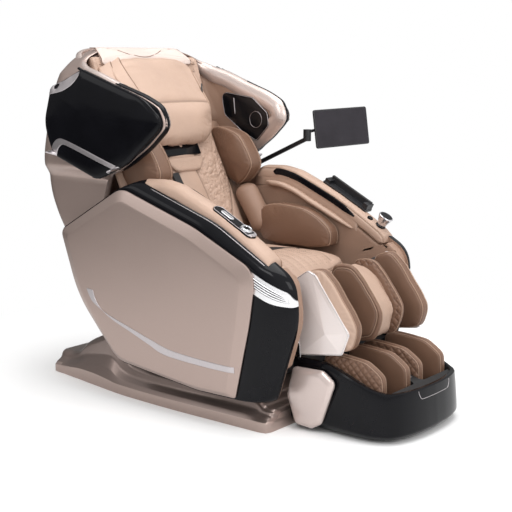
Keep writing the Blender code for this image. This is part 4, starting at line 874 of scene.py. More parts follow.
# ---------------------------------------------------------------- arm linings and armrests
# Padded boards on the sitter's side of each carcass and a padded bar on top of it: foam on
# moulded plywood under corrected-grain upholstery leather, closed with piped seams.
TAN = (0.480, 0.332, 0.255)
PAINTED_SHADE_TAN = (0.320, 0.202, 0.146)
BROWN = (0.185, 0.102, 0.066)
CREAM = (0.640, 0.530, 0.480)
LINING_EDGE = [
    (0.345, 0.705, 0.03), (0.150, 0.735, 0.10), (-0.020, 0.685, 0.30),
    (-0.180, 0.612, 0.30), (-0.318, 0.528, 0.01), (-0.338, 0.551, 0.01),
    (-0.390, 0.512, 0.07), (-0.412, 0.385, 0.30), (-0.358, 0.215, 0.05),
    (-0.290, 0.200, 0.05), (0.000, 0.300, 0.20), (0.345, 0.300, 0.04)]


def leather(name, colour, grain=0.0016, roughness=0.44):
    """Corrected-grain upholstery leather: pebble grain, soft creases, uneven dye and wear.

    The attribute "seam" is 1 on a seam and fades out beside it: the colour is painted darker there, as
    shade in the seam's groove and in quilting valleys.
    """
    made, tree, surface = shader(name, colour, roughness, Specular_IOR_Level=0.40)
    pebble = pattern(tree, "Voronoi", grain)
    pebble.feature = "DISTANCE_TO_EDGE"
    crease = pattern(tree, "Noise", 0.030, Detail=4.0, Roughness=0.55, Distortion=0.6)
    dye = pattern(tree, "Noise", 0.11, Detail=3.0)
    seam = new_node(tree, "ShaderNodeAttribute")
    seam.attribute_name = "seam"
    tone = new_node(tree, "ShaderNodeMath", "MULTIPLY")
    tree.links.new(spread(tree, dye.outputs["Fac"], 0.93, 1.07, 0.25, 0.75), tone.inputs[0])
    # Painted shade: the colour falls to 0.58 of itself on a seam and in quilting valleys.
    tree.links.new(spread(tree, seam.outputs["Fac"], 1.0, 0.58), tone.inputs[1])
    tinted(tree, surface, colour, tone.outputs[0])
    worn(tree, surface, roughness, 0.07, 0.08, crease.outputs["Fac"], 0.3, 0.7)
    low = relief(tree, surface, crease.outputs["Fac"], 0.0007)
    relief(tree, surface, spread(tree, pebble.outputs["Distance"], 0.0, 1.0, 0.0, 0.25),
           0.00014, low)
    return made


tan_leather = leather("tan_leather", TAN)
# The linings take a darker copy of the tan leather: painted shade, for the inner faces that the arms
# and wings hold in shade.
lining_leather = leather("lining_leather", PAINTED_SHADE_TAN)
brown_leather = leather("brown_leather", BROWN, 0.0016, 0.40)
cream_leather = leather("cream_leather", CREAM, 0.0013)
tan_piping = leather("tan_piping", (0.380, 0.245, 0.175), 0.0009, 0.48)
dark_piping = leather("dark_piping", (0.200, 0.115, 0.078), 0.0009, 0.48)


def spots(made):
    """The corners of a piece as an array."""
    found = np.empty(len(made.data.vertices) * 3)
    made.data.vertices.foreach_get("co", found)
    return found.reshape(-1, 3)


def outward(made):
    """The outward direction at each corner of a piece."""
    found = np.empty(len(made.data.vertices) * 3)
    made.data.vertices.foreach_get("normal", found)
    return found.reshape(-1, 3)


def moved_to(made, places):
    made.data.vertices.foreach_set("co", np.ascontiguousarray(places).ravel())
    made.data.update()


def even_skin(node, voxel, soften):
    """The solid's form in an even skin of small faces, with its corners softened."""
    made = keep(merged(node), node + "_cover", tan_leather, None, 0)
    remesh = made.modifiers.new("skin", "REMESH")
    remesh.mode = "VOXEL"
    remesh.voxel_size = voxel
    smooth = made.modifiers.new("soft", "SMOOTH")
    smooth.factor = 0.5
    smooth.iterations = soften
    return plain(made)


def around(point, normal):
    """A seam that runs round a cover where a plane cuts it."""
    def find(made):
        cut = bmesh.new()
        cut.from_mesh(made.data)
        result = bmesh.ops.bisect_plane(cut, geom=cut.verts[:] + cut.edges[:] + cut.faces[:],
                                        dist=1e-7, plane_co=point, plane_no=normal)
        links = {}
        for edge in result["geom_cut"]:
            if isinstance(edge, bmesh.types.BMEdge):
                for a, b in (edge.verts, tuple(edge.verts)[::-1]):
                    links.setdefault(a, []).append(b)
        best = []
        while links:
            start = next(iter(links))
            loop, here = [], start
            while here in links:
                loop.append(here.co.copy())
                ways = links.pop(here)
                here = next((w for w in ways if w in links), None)
            if len(loop) > len(best):
                best = loop
        cut.free()
        line = as_array(best)
        for _ in range(6):
            line = (np.roll(line, 1, axis=0) + line + np.roll(line, -1, axis=0)) / 3
        return smooth_line(line[::3], 0.004, closed=True), True
    return find


def rounder(first, second, amount=1.0, reach=0.34):
    """A change of outline: seen along the third axis, the form bulges between its corners."""
    def act(made):
        places = spots(made)
        flat = places[:, [first, second]]
        middle = (flat.max(axis=0) + flat.min(axis=0)) / 2
        angle = np.arctan2(flat[:, 1] - middle[1], flat[:, 0] - middle[0])
        far = np.hypot(flat[:, 0] - middle[0], flat[:, 1] - middle[1])
        bins = 90
        index = ((angle + math.pi) / (2 * math.pi) * bins).astype(int) % bins
        rim = np.full(bins, 0.001)
        np.maximum.at(rim, index, far)
        steps = np.minimum(np.arange(bins), bins - np.arange(bins)) * (2 * math.pi / bins)
        weights = np.exp(-0.5 * (steps / reach) ** 2)
        soft = np.array([np.sum(np.roll(weights, k) * rim) for k in range(bins)]) / weights.sum()
        factor = 1 + (soft / rim - 1) * amount
        turns = (np.arange(bins) + 0.5) / bins * 2 * math.pi - math.pi
        factor = np.interp(angle, turns, factor, period=2 * math.pi)
        places[:, [first, second]] = middle + (flat - middle) * factor[:, None]
        moved_to(made, places)
    return act


def run(points, closed=False):
    """A seam along given points, laid on a cover."""
    def find(made):
        skin_here = Surface(made)
        line = [skin_here.nearest(p) for p in smooth_line(points, 0.004, closed)]
        return as_array(line), closed
    return find


def distance_to(made, lines):
    """How far each corner of a piece is from the nearest of some lines."""
    fine = []
    for line, closed in lines:
        ends = np.concatenate([line, line[:1]]) if closed else line
        for share in (0.0, 0.33, 0.67):
            fine.append(ends[:-1] * (1 - share) + ends[1:] * share)
    fine = np.concatenate(fine)
    tree = KDTree(len(fine))
    for index, point in enumerate(fine):
        tree.insert(point, index)
    tree.balance()
    return np.array([tree.find(p)[2] for p in spots(made)])


def swell(made, lines, cap, pressure=8.0):
    """Stuff a cover: it swells between its seams, and no point moves further than cap."""
    held = made.vertex_groups.new(name="sewn")
    if lines:
        near = np.exp(-(distance_to(made, lines) / 0.008) ** 2)
        for index in np.nonzero(near > 0.25)[0]:
            held.add([int(index)], float(near[index]), "REPLACE")
    before = spots(made)
    cloth = made.modifiers.new("stuffing", "CLOTH")
    cloth.settings.use_pressure = True
    cloth.settings.uniform_pressure_force = pressure
    cloth.settings.effector_weights.gravity = 0
    cloth.settings.vertex_group_mass = "sewn"
    cloth.collision_settings.use_collision = False
    cloth.settings.quality = 3
    for step in range(1, 13):
        bpy.context.scene.frame_set(step)
    plain(made)
    bpy.context.scene.frame_set(1)
    made.vertex_groups.clear()
    move = spots(made) - before
    far = np.linalg.norm(move, axis=1, keepdims=True) + 1e-9
    moved_to(made, before + move / far * cap * np.tanh(far / cap))


def finer(made, levels=1):
    """Subdivide a piece smoothly."""
    surface = made.modifiers.new("finer", "SUBSURF")
    surface.levels = surface.render_levels = levels
    return plain(made)


def pull_in(made, lines, depth, width):
    """Draw a cover in along its seams and record how near each corner is to one."""
    near = distance_to(made, lines) if lines else np.full(len(made.data.vertices), 1.0)
    moved_to(made, spots(made) - outward(made) * (depth * np.exp(-(near / width) ** 2))[:, None])
    # The leather paints shade from this mark, darkest on the seam itself.
    mark = made.data.attributes.new("seam", "FLOAT", "POINT")
    mark.data.foreach_set("value", np.exp(-(near / 0.0042) ** 2).astype(np.float32))


def upholstered(node, name, finish, voxel, soften, seams, cap, depth=0.0035, width=0.006,
                levels=1, shape=None):
    """A stuffed cover in the form of a solid. Returns the cover and its seams' lines."""
    cover = even_skin(node, voxel, soften)
    cover.name = cover.data.name = name
    if shape:
        shape(cover)
    lines = [find(cover) for find in seams]
    swell(cover, lines, cap)
    finer(cover, levels)
    skin_here = Surface(cover)
    lines = [(as_array(skin_here.nearest(p) for p in line), closed) for line, closed in lines]
    pull_in(cover, lines, depth, width)
    cover.data.materials.clear()
    cover.data.materials.append(finish)
    cover.data.shade_smooth()
    return cover, lines


def piping(name, cover, lines, finish, radius=0.0024, lift=0.0008):
    """Round piped beads sewn into seams, one piece for all of them."""
    skin_here = Surface(cover)
    beads = [tube([skin_here.nearest(p, lift) for p in line], radius, closed, 7)
             for line, closed in lines]
    return keep(joined(beads), name, finish, None, 0)


def two_handed(made, name):
    """The other hand of a finished piece, mirrored over the middle of the chair."""
    mesh = bmesh.new()
    mesh.from_mesh(made.data)
    other_hand(mesh)
    copy = keep(mesh, name, made.data.materials[0], None, 0)
    for finish in made.data.materials[1:]:
        copy.data.materials.append(finish)
    copy.data.polygons.foreach_set("material_index",
                                   [face.material_index for face in made.data.polygons])
    return copy


def fitted(cover, body, node):
    """Put a stuffed cover on its body in place of its solid."""
    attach(cover, body)
    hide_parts(node)


def sewn_in(bead, body):
    """Put a cover's piping on its body."""
    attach(bead, body)


def fitted_pair(pad, bead, body, node):
    """Fit a stuffed pad and its piping on the left, and their mirror images on the right."""
    right = [two_handed(made, made.name.replace("left", "right")) for made in (pad, bead)]
    for word, cover, edge in (("left", pad, bead), ("right", *right)):
        fitted(cover, body, node + word)
        sewn_in(edge, body)


def arm_lining_rings():
    edge = rounded(LINING_EDGE, 8)
    rings = [stood_up(drawn_in(edge, f), SEAT_HALF + out)
             for f, out in ((0.55, 0.0005), (0.75, 0.0005), (0.90, 0.0008))]
    rings += [stood_up(inset(edge, pull), SEAT_HALF + out)
              for pull, out in ((0.012, 0.0008), (0.006, 0.0014), (0.0022, 0.0036), (0.0, 0.008),
                                (0.0, 0.020), (0.0, 0.036))]
    return rings


def stitch_row():
    """Short thread stitches set end to end along a line."""
    tree, entry, placed = rows_tree("stitch_row", Path="Geometry", Pitch="Float", Size="Vector",
                                    Finish="Material")
    points = along_curve(tree, entry, placed)
    points.mode = "LENGTH"
    tangent = new_node(tree, "GeometryNodeInputTangent")
    aim = new_node(tree, "FunctionNodeAlignRotationToVector")
    aim.axis = "X"
    wired(tree, (entry, "Pitch", points, "Length"), (tangent, "Tangent", aim, "Vector"),
          (aim, "Rotation", placed, "Rotation"))
    return tree


stitch_tree = stitch_row()
THREAD = (0.46, 0.31, 0.22)
linen_thread, tree, surface = shader("linen_thread", THREAD, 0.62)
twist = pattern(tree, "Wave", 0.0011)
tinted(tree, surface, THREAD, spread(tree, twist.outputs["Fac"], 0.75, 1.15))
relief(tree, surface, twist.outputs["Fac"], 0.00015)


def stitched(name, cover, line, body, aside=(0, 0, 0)):
    """A row of stitches on a cover, a few millimetres beside a seam's line."""
    skin_here = Surface(cover)
    shift = Vector(aside)
    path = [skin_here.nearest(Vector(p) + shift, 0.0003) for p in line]
    made = run_tree(name, path, stitch_tree, body, Pitch=0.0052,
                    Size=(0.0036, 0.0009, 0.0007), Finish=linen_thread)
    return made


# The arm linings take the darker lining leather: painted shade on the sitter's side of each arm.
for side, word, handed in HANDS:
    lining = keep(handed(lofted(arm_lining_rings())), "arm_lining_" + word, lining_leather, None, 35)
    cut_out(lining, handed(arm_line(0.0006)))
    fitted(lining, "seat", "side_lining_" + word)
    edge = [(side * (SEAT_HALF + 0.0035), y, z) for y, z in
            [(p.x, p.y) for p in inset(rounded(LINING_EDGE, 8), 0.003)]
            if y < 0.33 and z < 0.552 and y < -0.30]
    rim = [p for p in edge if p[2] > 0.215]
    rim.sort(key=lambda p: -p[2])
    trim("side_lining_" + word, tube(smooth_line(rim[::3], 0.006), 0.0022),
         "arm_lining_piping_" + word, tan_piping, "seat", 0)

# The armrest bars are one form, upholstered twice: the left one has the sockets of the
# phone cradle and the hand control, the right one the console's recess.
arms = {}
for side, word, _ in HANDS:
    arm, lines = upholstered("armrest_" + word, "armrest_cover_" + word, tan_leather, 0.0045, 5,
                             [around((side * (ARM_X + 0.006), 0, 0), (1, 0, 0))], 0.002, 0.0018,
                             0.005)
    fitted(arm, "seat", "armrest_" + word)
    bead = piping("armrest_piping_" + word, arm, lines, tan_piping, 0.0018)
    sewn_in(bead, "seat")
    arms[word] = arm


# ---------------------------------------------------------------- seat
# A deep foam seat in tan leather: piped rim, two long seams, ribs and a perforated field in
# front of the black slot that the seat's air cell breathes through, and two brown hip pads.
SEAT_TOP = 0.497
SEAT_THICK = 0.1087
RIB_PITCH = 0.040
RIBS_REAR, RIBS_FRONT = -0.045, -0.225
CUSHION_HALF = SEAT_HALF - 0.038


def seat_place(x, y, depth):
    roll = max(0.0, -0.150 - y)
    drop = 4.5 * roll ** 2 * max(depth, 0.0) / SEAT_THICK
    return Vector((x, y, SEAT_TOP - 0.012 - SEAT_THICK + depth - drop))


seat_outline = rounded([(-CUSHION_HALF, -0.196, 0.06), (0.0, -0.238, 0.5),
                        (CUSHION_HALF, -0.196, 0.06), (CUSHION_HALF, 0.235, 0.03),
                        (-CUSHION_HALF, 0.235, 0.03)], 8)
rim = [seat_place(p.x, p.y, 0.94 * SEAT_THICK) for p in inset(seat_outline, 0.003)]
long_seams = [[(x, y, 0.52) for y in (0.215, 0.10, 0.0, -0.10, -0.17, -0.205)]
              for x in (-0.172, 0.172)]


def crowned(made):
    """The filling stands highest in the middle of the seat's top."""
    places = spots(made)
    top = np.clip((places[:, 2] - SEAT_TOP + 0.060) / 0.045, 0, 1)
    across = np.clip(1 - (places[:, 0] / (CUSHION_HALF + 0.010)) ** 4, 0, 1)
    front = np.clip((places[:, 1] + 0.225) / 0.11, 0, 1)
    rear = np.clip((0.240 - places[:, 1]) / 0.06, 0, 1)
    places[:, 2] += 0.024 * top * across * front * front * (3 - 2 * front) * rear
    moved_to(made, places)


seat, seat_lines = upholstered("seat_cushion", "seat_cushion_cover", tan_leather, 0.0065, 6,
                               [run(rim[::3], True), run(long_seams[0]), run(long_seams[1])],
                               0.010, 0.0045, 0.007, shape=crowned)
places, normals = spots(seat), outward(seat)
field = (normals[:, 2] > 0.6) & (np.abs(places[:, 0]) < 0.160) & (places[:, 1] < RIBS_REAR)
fade = (np.clip((RIBS_REAR - places[:, 1]) / 0.02, 0, 1)
        * np.clip((places[:, 1] - RIBS_FRONT) / 0.04, 0, 1))
rib = 0.5 - 0.5 * np.cos(2 * math.pi * places[:, 0] / RIB_PITCH)
places[:, 2] -= np.where(field, 0.0028 * (1 - rib ** 0.35) * fade, 0)
moved_to(seat, places)
fitted(seat, "seat", "seat_cushion")
bead = piping("seat_piping", seat, seat_lines[:1], tan_piping)
sewn_in(bead, "seat")
for number, line in enumerate(seat_lines[1:]):
    stitched("seat_stitches_%d" % number, seat, line[0], "seat", (0.004, 0, 0))

seat_top = Surface(seat)
slot_black, tree, surface = shader("slot_mesh", (0.010, 0.010, 0.011), 0.5)
weave = pattern(tree, "Voronoi", 0.0014)
tinted(tree, surface, (0.012, 0.012, 0.013), spread(tree, weave.outputs["Distance"], 1.4, 0.5))
relief(tree, surface, weave.outputs["Distance"], 0.0003)
xs = np.linspace(-0.215, 0.215, 60)
edge_front = [seat_top.below(x, -0.031) for x in xs]
edge_rear = [seat_top.below(x, -0.018) for x in xs]
trim("seat_cushion", laid_strip(edge_front, edge_rear, (0, 0, 1), 0.0010, 0.003), "seat_slot",
     slot_black, "seat", 40)
xs = np.linspace(-0.112, 0.112, 50)
arc_front = [seat_top.below(x, -0.0175) for x in xs]
arc_rear = [seat_top.below(x, -0.0165 + 0.046 * math.sqrt(max(1 - (x / 0.1125) ** 2, 0))) for x in xs]
trim("seat_cushion", laid_strip(arc_front, arc_rear, (0, 0, 1), 0.0012, 0.003, 8), "seat_air_cell",
     slot_black, "seat", 40)


def punched_field():
    """One small dark disc on every point of a mesh."""
    tree, entry, placed = rows_tree("punched_field", Points="Geometry", Hole_radius="Float",
                                    Depth="Float", Finish="Material")
    disc = new_node(tree, "GeometryNodeMeshCylinder", Vertices=7)
    wired(tree, (entry, "Points", placed, "Points"), (entry, "Hole radius", disc, "Radius"),
          (entry, "Depth", disc, "Depth"), (disc, "Mesh", placed, "Instance"))
    return tree


HOLE_PITCH = 0.0125
holes = []
for row, y in enumerate(np.arange(-0.052, -0.190, -HOLE_PITCH)):
    for x in np.arange(-0.150, 0.1501, HOLE_PITCH) + HOLE_PITCH / 2 * (row % 2):
        spot = seat_top.below(x, y, 0.0001)
        if spot and abs(x / RIB_PITCH % 1 - 0.5) < 0.40:
            holes.append(spot)
punched = run_tree("seat_perforations", holes, punched_field(), "seat", Hole_radius=0.0013,
                   Depth=0.0006, Finish=slot_black)

hip, hip_lines = upholstered("hip_cushion_left", "hip_pad_left", brown_leather, 0.0045, 4,
                             [around((SEAT_HALF - 0.0600, 0, 0), (1, 0, 0)),
                              around((SEAT_HALF - 0.0120, 0, 0), (1, 0, 0))], 0.007, 0.003, 0.006,
                             shape=rounder(1, 2, 0.55))
hip_bead = piping("hip_piping_left", hip, hip_lines, tan_piping, 0.0021)
fitted_pair(hip, hip_bead, "seat", "hip_cushion_")

# The darker lining leather, painted shade, also covers the inner face of each carcass.
for side, word, handed in HANDS:
    edge = inset(rounded(BAND_EDGE), 0.0015)
    sheet = lofted([stood_up(edge, LINING_X - 0.0012), stood_up(edge, LINING_X + 0.0002)])
    stuffed("side_lining_" + word, 0.7, handed(sheet), "carcass_facing_" + word, lining_leather,
            "seat", 30)

# A soft bolster in the darker lining leather, painted shade, closes the corner between hip pad, back
# pad and side lining.
for side, word, _ in HANDS:
    rings = []
    spine = smooth_line([(0.258, 0.186, 0.552), (0.254, 0.216, 0.606), (0.250, 0.254, 0.668),
                         (0.250, 0.290, 0.722)], 0.010)
    for index, point in enumerate(spine):
        share = index / (len(spine) - 1)
        full = min(1.0, (share + 0.02) * (1.02 - share) * 8) ** 0.5
        rings.append([Vector((side * (point[0] + 0.044 * full * math.cos(a)),
                              point[1] + 0.046 * full * math.sin(a) * 0.86,
                              point[2] - 0.046 * full * math.sin(a) * 0.50))
                      for a in circle(20)])
    finer(stuffed("side_lining_" + word, 0.85, lofted(rings), "corner_bolster_" + word,
                  lining_leather, "seat", 0))


# ---------------------------------------------------------------- back shell
# One C-section moulding, painted champagne: the lower shell runs between the side covers and
# opens into both wings and the hood. A rounded bright rim closes its front edge.
BACK_HALF = LINING_X - 0.0055
WING_FRONT_X = SEAT_HALF + 0.050
WING_FLARE = 0.050
WING_TIP_Y = 0.146
SHELL_WALL = 0.026
HEAD_LINING = 0.012
LINING_GAP = 0.0065
SHELL_LEVELS = [
    (0.470, 0.505, 0.668, BACK_HALF, BACK_HALF), (0.560, 0.495, 0.722, BACK_HALF, BACK_HALF),
    (0.650, 0.478, 0.776, BACK_HALF, BACK_HALF), (0.720, 0.458, 0.803, BACK_HALF, BACK_HALF),
    (0.775, 0.440, 0.811, BACK_HALF, BACK_HALF),
    (0.796, 0.420, 0.810, BACK_HALF + 0.015, BACK_HALF + 0.011),
    (0.820, 0.350, 0.805, None, BACK_HALF + 0.029), (0.868, 0.272, 0.794, None, BACK_HALF + 0.038),
    (0.925, 0.195, 0.778, None, BACK_HALF + 0.042), (0.985, 0.146, 0.759, None, None),
    (1.035, 0.165, 0.745, None, None), (1.066, 0.218, 0.735, None, None),
    (1.110, 0.345, 0.716, None, None), (1.148, 0.450, 0.703, None, BACK_HALF + 0.036),
    (1.172, 0.530, 0.697, BACK_HALF + 0.020, BACK_HALF + 0.014),
    (1.200, 0.575, 0.690, BACK_HALF - 0.018, BACK_HALF - 0.022),
    (1.225, 0.590, 0.679, BACK_HALF - 0.078, BACK_HALF - 0.080),
    (1.243, 0.605, 0.668, BACK_HALF - 0.156, BACK_HALF - 0.156)]


def wing_x(y):
    """Distance of the wing's outer face from the middle of the chair at y."""
    return WING_FRONT_X + WING_FLARE * (y - WING_TIP_Y)


def shell_curve(level, inward):
    """Half of one level of the back shell, from its front edge to the middle."""
    _, front, rear, near_half, far_half = level
    start = max(rear - 0.090, front + 0.03)
    bend = front + 0.62 * (start - front)
    far_half = far_half or wing_x(start)
    middle = (near_half + far_half) / 2 if near_half else wing_x(bend)
    near_half = near_half or wing_x(front)
    points = [(near_half - inward, front), ((near_half + middle) / 2 - inward, (front + bend) / 2),
              (middle - inward, bend)]
    for step in range(17):
        turn = math.radians(90) * step / 16
        points.append(((far_half - inward) * math.cos(turn) ** 0.7,
                       start + (rear - start - inward) * math.sin(turn) ** 0.7))
    points[-1] = (0.0, points[-1][1])
    return points


def shell_rings(inward, heights):
    """Half curves of the shell at many heights, eased between its levels."""
    table = np.array([shell_curve(level, inward) for level in SHELL_LEVELS])
    known = [level[0] for level in SHELL_LEVELS]
    flat = table.reshape(len(SHELL_LEVELS), -1)
    columns = [eased(known, flat[:, k], heights) for k in range(flat.shape[1])]
    return np.stack(columns, axis=1).reshape(len(heights), -1, 2)


heights = np.concatenate([np.linspace(0.470, 0.775, 16)[:-1], np.linspace(0.775, 1.243, 64)])
outer, inner = shell_rings(0.0, heights), shell_rings(SHELL_WALL, heights)
rings = []
for z, out, into in zip(heights, outer, inner):
    ring = [Vector((x, y, z)) for x, y in out] + [Vector((-x, y, z)) for x, y in out[-2::-1]]
    back = [Vector((x, y, z)) for x, y in into] + [Vector((-x, y, z)) for x, y in into[-2::-1]]
    tip = [ring[0].lerp(back[0], share) + Vector((0, -0.008 * math.sin(math.pi * share), 0))
           for share in (0.80, 0.60, 0.40, 0.20)]
    other = [Vector((-p.x, p.y, p.z)) for p in reversed(tip)]
    rings.append(ring + other + back[::-1] + tip)
back_shell = keep(lofted(rings), "back_moulding", champagne_paint, "backrest", 40)
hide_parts("back_shell")

bright_rim_paint = painted("rim_paint", (0.600, 0.500, 0.460), 0.60, 0.34)
edge_path = [(near[0], near[1], z) for z, near in zip(heights, outer[:, 0]) if 0.815 < z < 1.190]
edge_path = smooth_line(edge_path + [(0.303, 0.600, 1.203), (0.282, 0.628, 1.220),
                                     (0.250, 0.650, 1.234), (0.200, 0.660, 1.2425),
                                     (0.120, 0.662, 1.2440), (0.060, 0.662, 1.2440),
                                     (0.0, 0.662, 1.2440)], 0.010)
RIM_PROFILE = [(-0.034, -0.0012), (-0.012, -0.0022), (-0.002, 0.000), (0.0055, 0.006),
               (0.0088, 0.014), (0.0078, 0.024), (0.002, 0.034), (-0.008, 0.042), (-0.022, 0.0470),
               (-0.046, 0.0492), (-0.050, 0.0460), (-0.050, 0.030), (-0.034, 0.022)]
HOOD_FACING = Vector((0, -0.92, 0.38))
frames = []
for index, point in enumerate(edge_path):
    after = edge_path[min(index + 1, len(edge_path) - 1)]
    along = Vector(after - edge_path[max(index - 1, 0)]).normalized()
    wing_out = Vector((0, -along.z, along.y))
    hood = min(max((point[2] - 1.165) / 0.045, 0.0), 1.0)
    facing = HOOD_FACING.copy()
    if wing_out.length > 1e-4:
        facing = wing_out.normalized().lerp(HOOD_FACING, hood)
    frames.append((along, facing, hood))
rings = []
for index, point in enumerate(edge_path):
    nearby = frames[max(index - 5, 0):index + 6]
    along = sum((f[0] for f in nearby), Vector()).normalized()
    facing = sum((f[1] for f in nearby), Vector())
    hood = sum(f[2] for f in nearby) / len(nearby)
    facing = (facing - along * facing.dot(along)).normalized()
    inward = -along.cross(facing)
    size = 1.0 - 0.62 * hood
    start = min(1.0, 0.35 + index / 12)
    rings.append([Vector(point) + facing * n * (size if n < 0 else 1) * start
                  + inward * b * size for n, b in RIM_PROFILE])
rim_left = keep(lofted(rings), "head_rim_left", bright_rim_paint, None, 50)
two_tone(rim_left, gloss_black, lambda p, n: n.x > -0.30 and p.z < 1.12)
rim_right = two_handed(rim_left, "head_rim_right")
for made in (rim_left, rim_right):
    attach(made, "backrest")


# ---------------------------------------------------------------- wing panels
# A gloss black cover snaps over the outside of each wing, with a silver stripe low down and
# a silver cap at the top. A speaker panel is let into the inside.
WING_EDGE = [
    (0.128, 0.990, 0.05), (0.300, 0.846, 0.15), (0.445, 0.780, 0.08), (0.664, 0.862, 0.07),
    (0.704, 0.975, 0.12), (0.664, 1.106, 0.03), (0.600, 1.128, 0.04), (0.510, 1.168, 0.02),
    (0.230, 1.072, 0.20)]
SPEAKER_EDGE = [
    (0.458, 1.078, 0.03), (0.290, 1.058, 0.05), (0.212, 1.000, 0.03), (0.205, 0.950, 0.03),
    (0.268, 0.888, 0.02), (0.345, 0.922, 0.05), (0.438, 0.985, 0.03)]
WING_STRIPE_TOP = [(0.668, 0.872), (0.654, 0.902), (0.626, 0.920), (0.590, 0.917), (0.500, 0.888),
                   (0.400, 0.853), (0.330, 0.829)]
WING_STRIPE_LOW = [(0.640, 0.860), (0.629, 0.883), (0.610, 0.898), (0.585, 0.897), (0.500, 0.869),
                   (0.410, 0.838), (0.345, 0.815)]
CAP_TOP = [(0.512, 1.160), (0.545, 1.149), (0.590, 1.1285), (0.635, 1.115), (0.662, 1.098)]
CAP_LOW = [(0.516, 1.148), (0.545, 1.118), (0.585, 1.096), (0.622, 1.085), (0.668, 1.078)]
speaker_black = lacquer("speaker_lacquer", (0.0050, 0.0055, 0.0070), 0.14, 0.30)
edge = rounded(WING_EDGE, 8)
layers = [(edge, 0.001), (edge, 0.0085), (inset(edge, 0.0012), 0.0118), (inset(edge, 0.0034), 0.0140),
          (inset(edge, 0.0070), 0.0154), (drawn_in(edge, 0.92), 0.0166), (drawn_in(edge, 0.80), 0.0190),
          (drawn_in(edge, 0.62), 0.0202), (drawn_in(edge, 0.45), 0.0210), (drawn_in(edge, 0.2), 0.0214)]
wing_rings = [stood_up(points, WING_FRONT_X + out, WING_FLARE, WING_TIP_Y) for points, out in layers]
edge = rounded(SPEAKER_EDGE, 8)
inside = WING_FRONT_X - SHELL_WALL - LINING_GAP - HEAD_LINING - 0.0005
layers = [(edge, 0.0), (edge, -0.0042), (inset(edge, 0.0012), -0.0056), (inset(edge, 0.0032), -0.0062),
          (drawn_in(edge, 0.5), -0.0066)]
speaker_rings = [stood_up(points, inside + out, WING_FLARE, WING_TIP_Y) for points, out in layers]
for side, word, handed in HANDS:
    plate = keep(handed(lofted(wing_rings)), "wing_cover_" + word, gloss_black, "backrest", 35)
    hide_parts("wing_panel_" + word)
    speaker = keep(handed(lofted(speaker_rings)), "speaker_cover_" + word, speaker_black,
                   "backrest", 35)
    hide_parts("speaker_panel_" + word)
    plate_skin = Surface(plate)
    for name, first, second, lift in (("wing_stripe_", WING_STRIPE_TOP, WING_STRIPE_LOW, 0.0022),
                                      ("wing_cap_", CAP_TOP, CAP_LOW, 0.0020)):
        top, low = matched(on_side(first, plate_skin, side), on_side(second, plate_skin, side))
        trim("wing_panel_" + word, laid_strip(top, low, (side, 0, 0), lift, 0.003), name + word,
             satin_silver, "backrest", 40)
    rim_line = [Vector((side * (wing_x(p.x) + 0.0118), p.x, p.y))
                for p in inset(rounded(WING_EDGE, 8), 0.0012)]
    start = max(range(len(rim_line)), key=lambda k: rim_line[k].y)
    turned_line = rim_line[start:] + rim_line[:start]
    front_rim = [p for p in turned_line if p.y < 0.505]
    trim("wing_panel_" + word, tube(smooth_line(front_rim[::2], 0.006), 0.0017),
         "wing_edge_bead_" + word, gloss_black, "backrest", 0)
    clip_at = Vector((side * (wing_x(0.512) + 0.006), 0.516, 1.1655))
    clip = bmesh.new()
    bmesh.ops.create_cube(clip, size=1, matrix=Matrix.Translation(clip_at)
                          @ rotation(24, "X")
                          @ Matrix.Diagonal((0.012, 0.030, 0.007, 1)))
    bmesh.ops.bevel(clip, geom=clip.edges[:], offset=0.0016, segments=3, affect="EDGES")
    trim("wing_panel_" + word, clip, "wing_clip_" + word, gloss_black, "backrest", 40)

    face = inside - 0.0066
    outline = [Vector((side * (face + 0.0010 + WING_FLARE * (p.x - WING_TIP_Y)), p.x, p.y))
               for p in inset(rounded(SPEAKER_EDGE, 8), 0.0022)]
    ring, mark = ([Vector((side * (face + WING_FLARE * (y - WING_TIP_Y)), y, z)) for y, z in line]
                  for line in ([(0.272 + 0.031 * math.cos(t), 0.972 + 0.031 * math.sin(t))
                                for t in circle(40)],
                               [(0.3865, 1.052), (0.3835, 1.022), (0.380, 0.990)]))
    beads = [tube(smooth_line(outline[::2], 0.006, True), 0.0011, True),
             tube(as_array(ring), 0.0008, True), tube(smooth_line(mark, 0.006), 0.0017)]
    trim("speaker_panel_" + word, joined(beads), "speaker_trim_" + word, satin_silver, "backrest",
         0)


# ---------------------------------------------------------------- head lining, hood and pillow
# Leather over foam inside the wings, a piped capsule panel in the front of the hood and the
# head pillow that hangs from it, with a folded strap over its side.
PILLOW_HALF = 0.207
PAD_HALF = SEAT_HALF - 0.0685
# The head lining takes the darker lining leather: painted shade inside the wings.
lining, lines = upholstered("head_lining", "head_lining_cover", lining_leather, 0.0075, 3, [],
                            0.003, 0.0)
fitted(lining, "backrest", "head_lining")

moulding("hood_panel", champagne_paint, "backrest", 0.003)
capsule = rounded([(-0.250, 0.000, 0.020), (0.250, 0.000, 0.020), (0.212, 0.092, 0.034),
                   (-0.212, 0.092, 0.034)], 8)
HOOD_PROFILE = [(0.000, 0.562, 1.188, 30), (0.020, 0.570, 1.208, 42), (0.035, 0.578, 1.222, 52),
                (0.052, 0.592, 1.2355, 62), (0.070, 0.612, 1.2440, 74), (0.092, 0.642, 1.2475, 86)]


def hood_face(x, s, out):
    """A point on the hood's front, at a distance s up its curve from the lower edge."""
    known, *columns = zip(*HOOD_PROFILE)
    y, z, lean = (float(np.interp(s, known, column)) for column in columns)
    lean = math.radians(lean)
    bow = (x / 0.25) ** 2
    return Vector((x, y - 0.016 * bow - out * math.cos(lean), z - 0.010 * bow + out * math.sin(lean)))


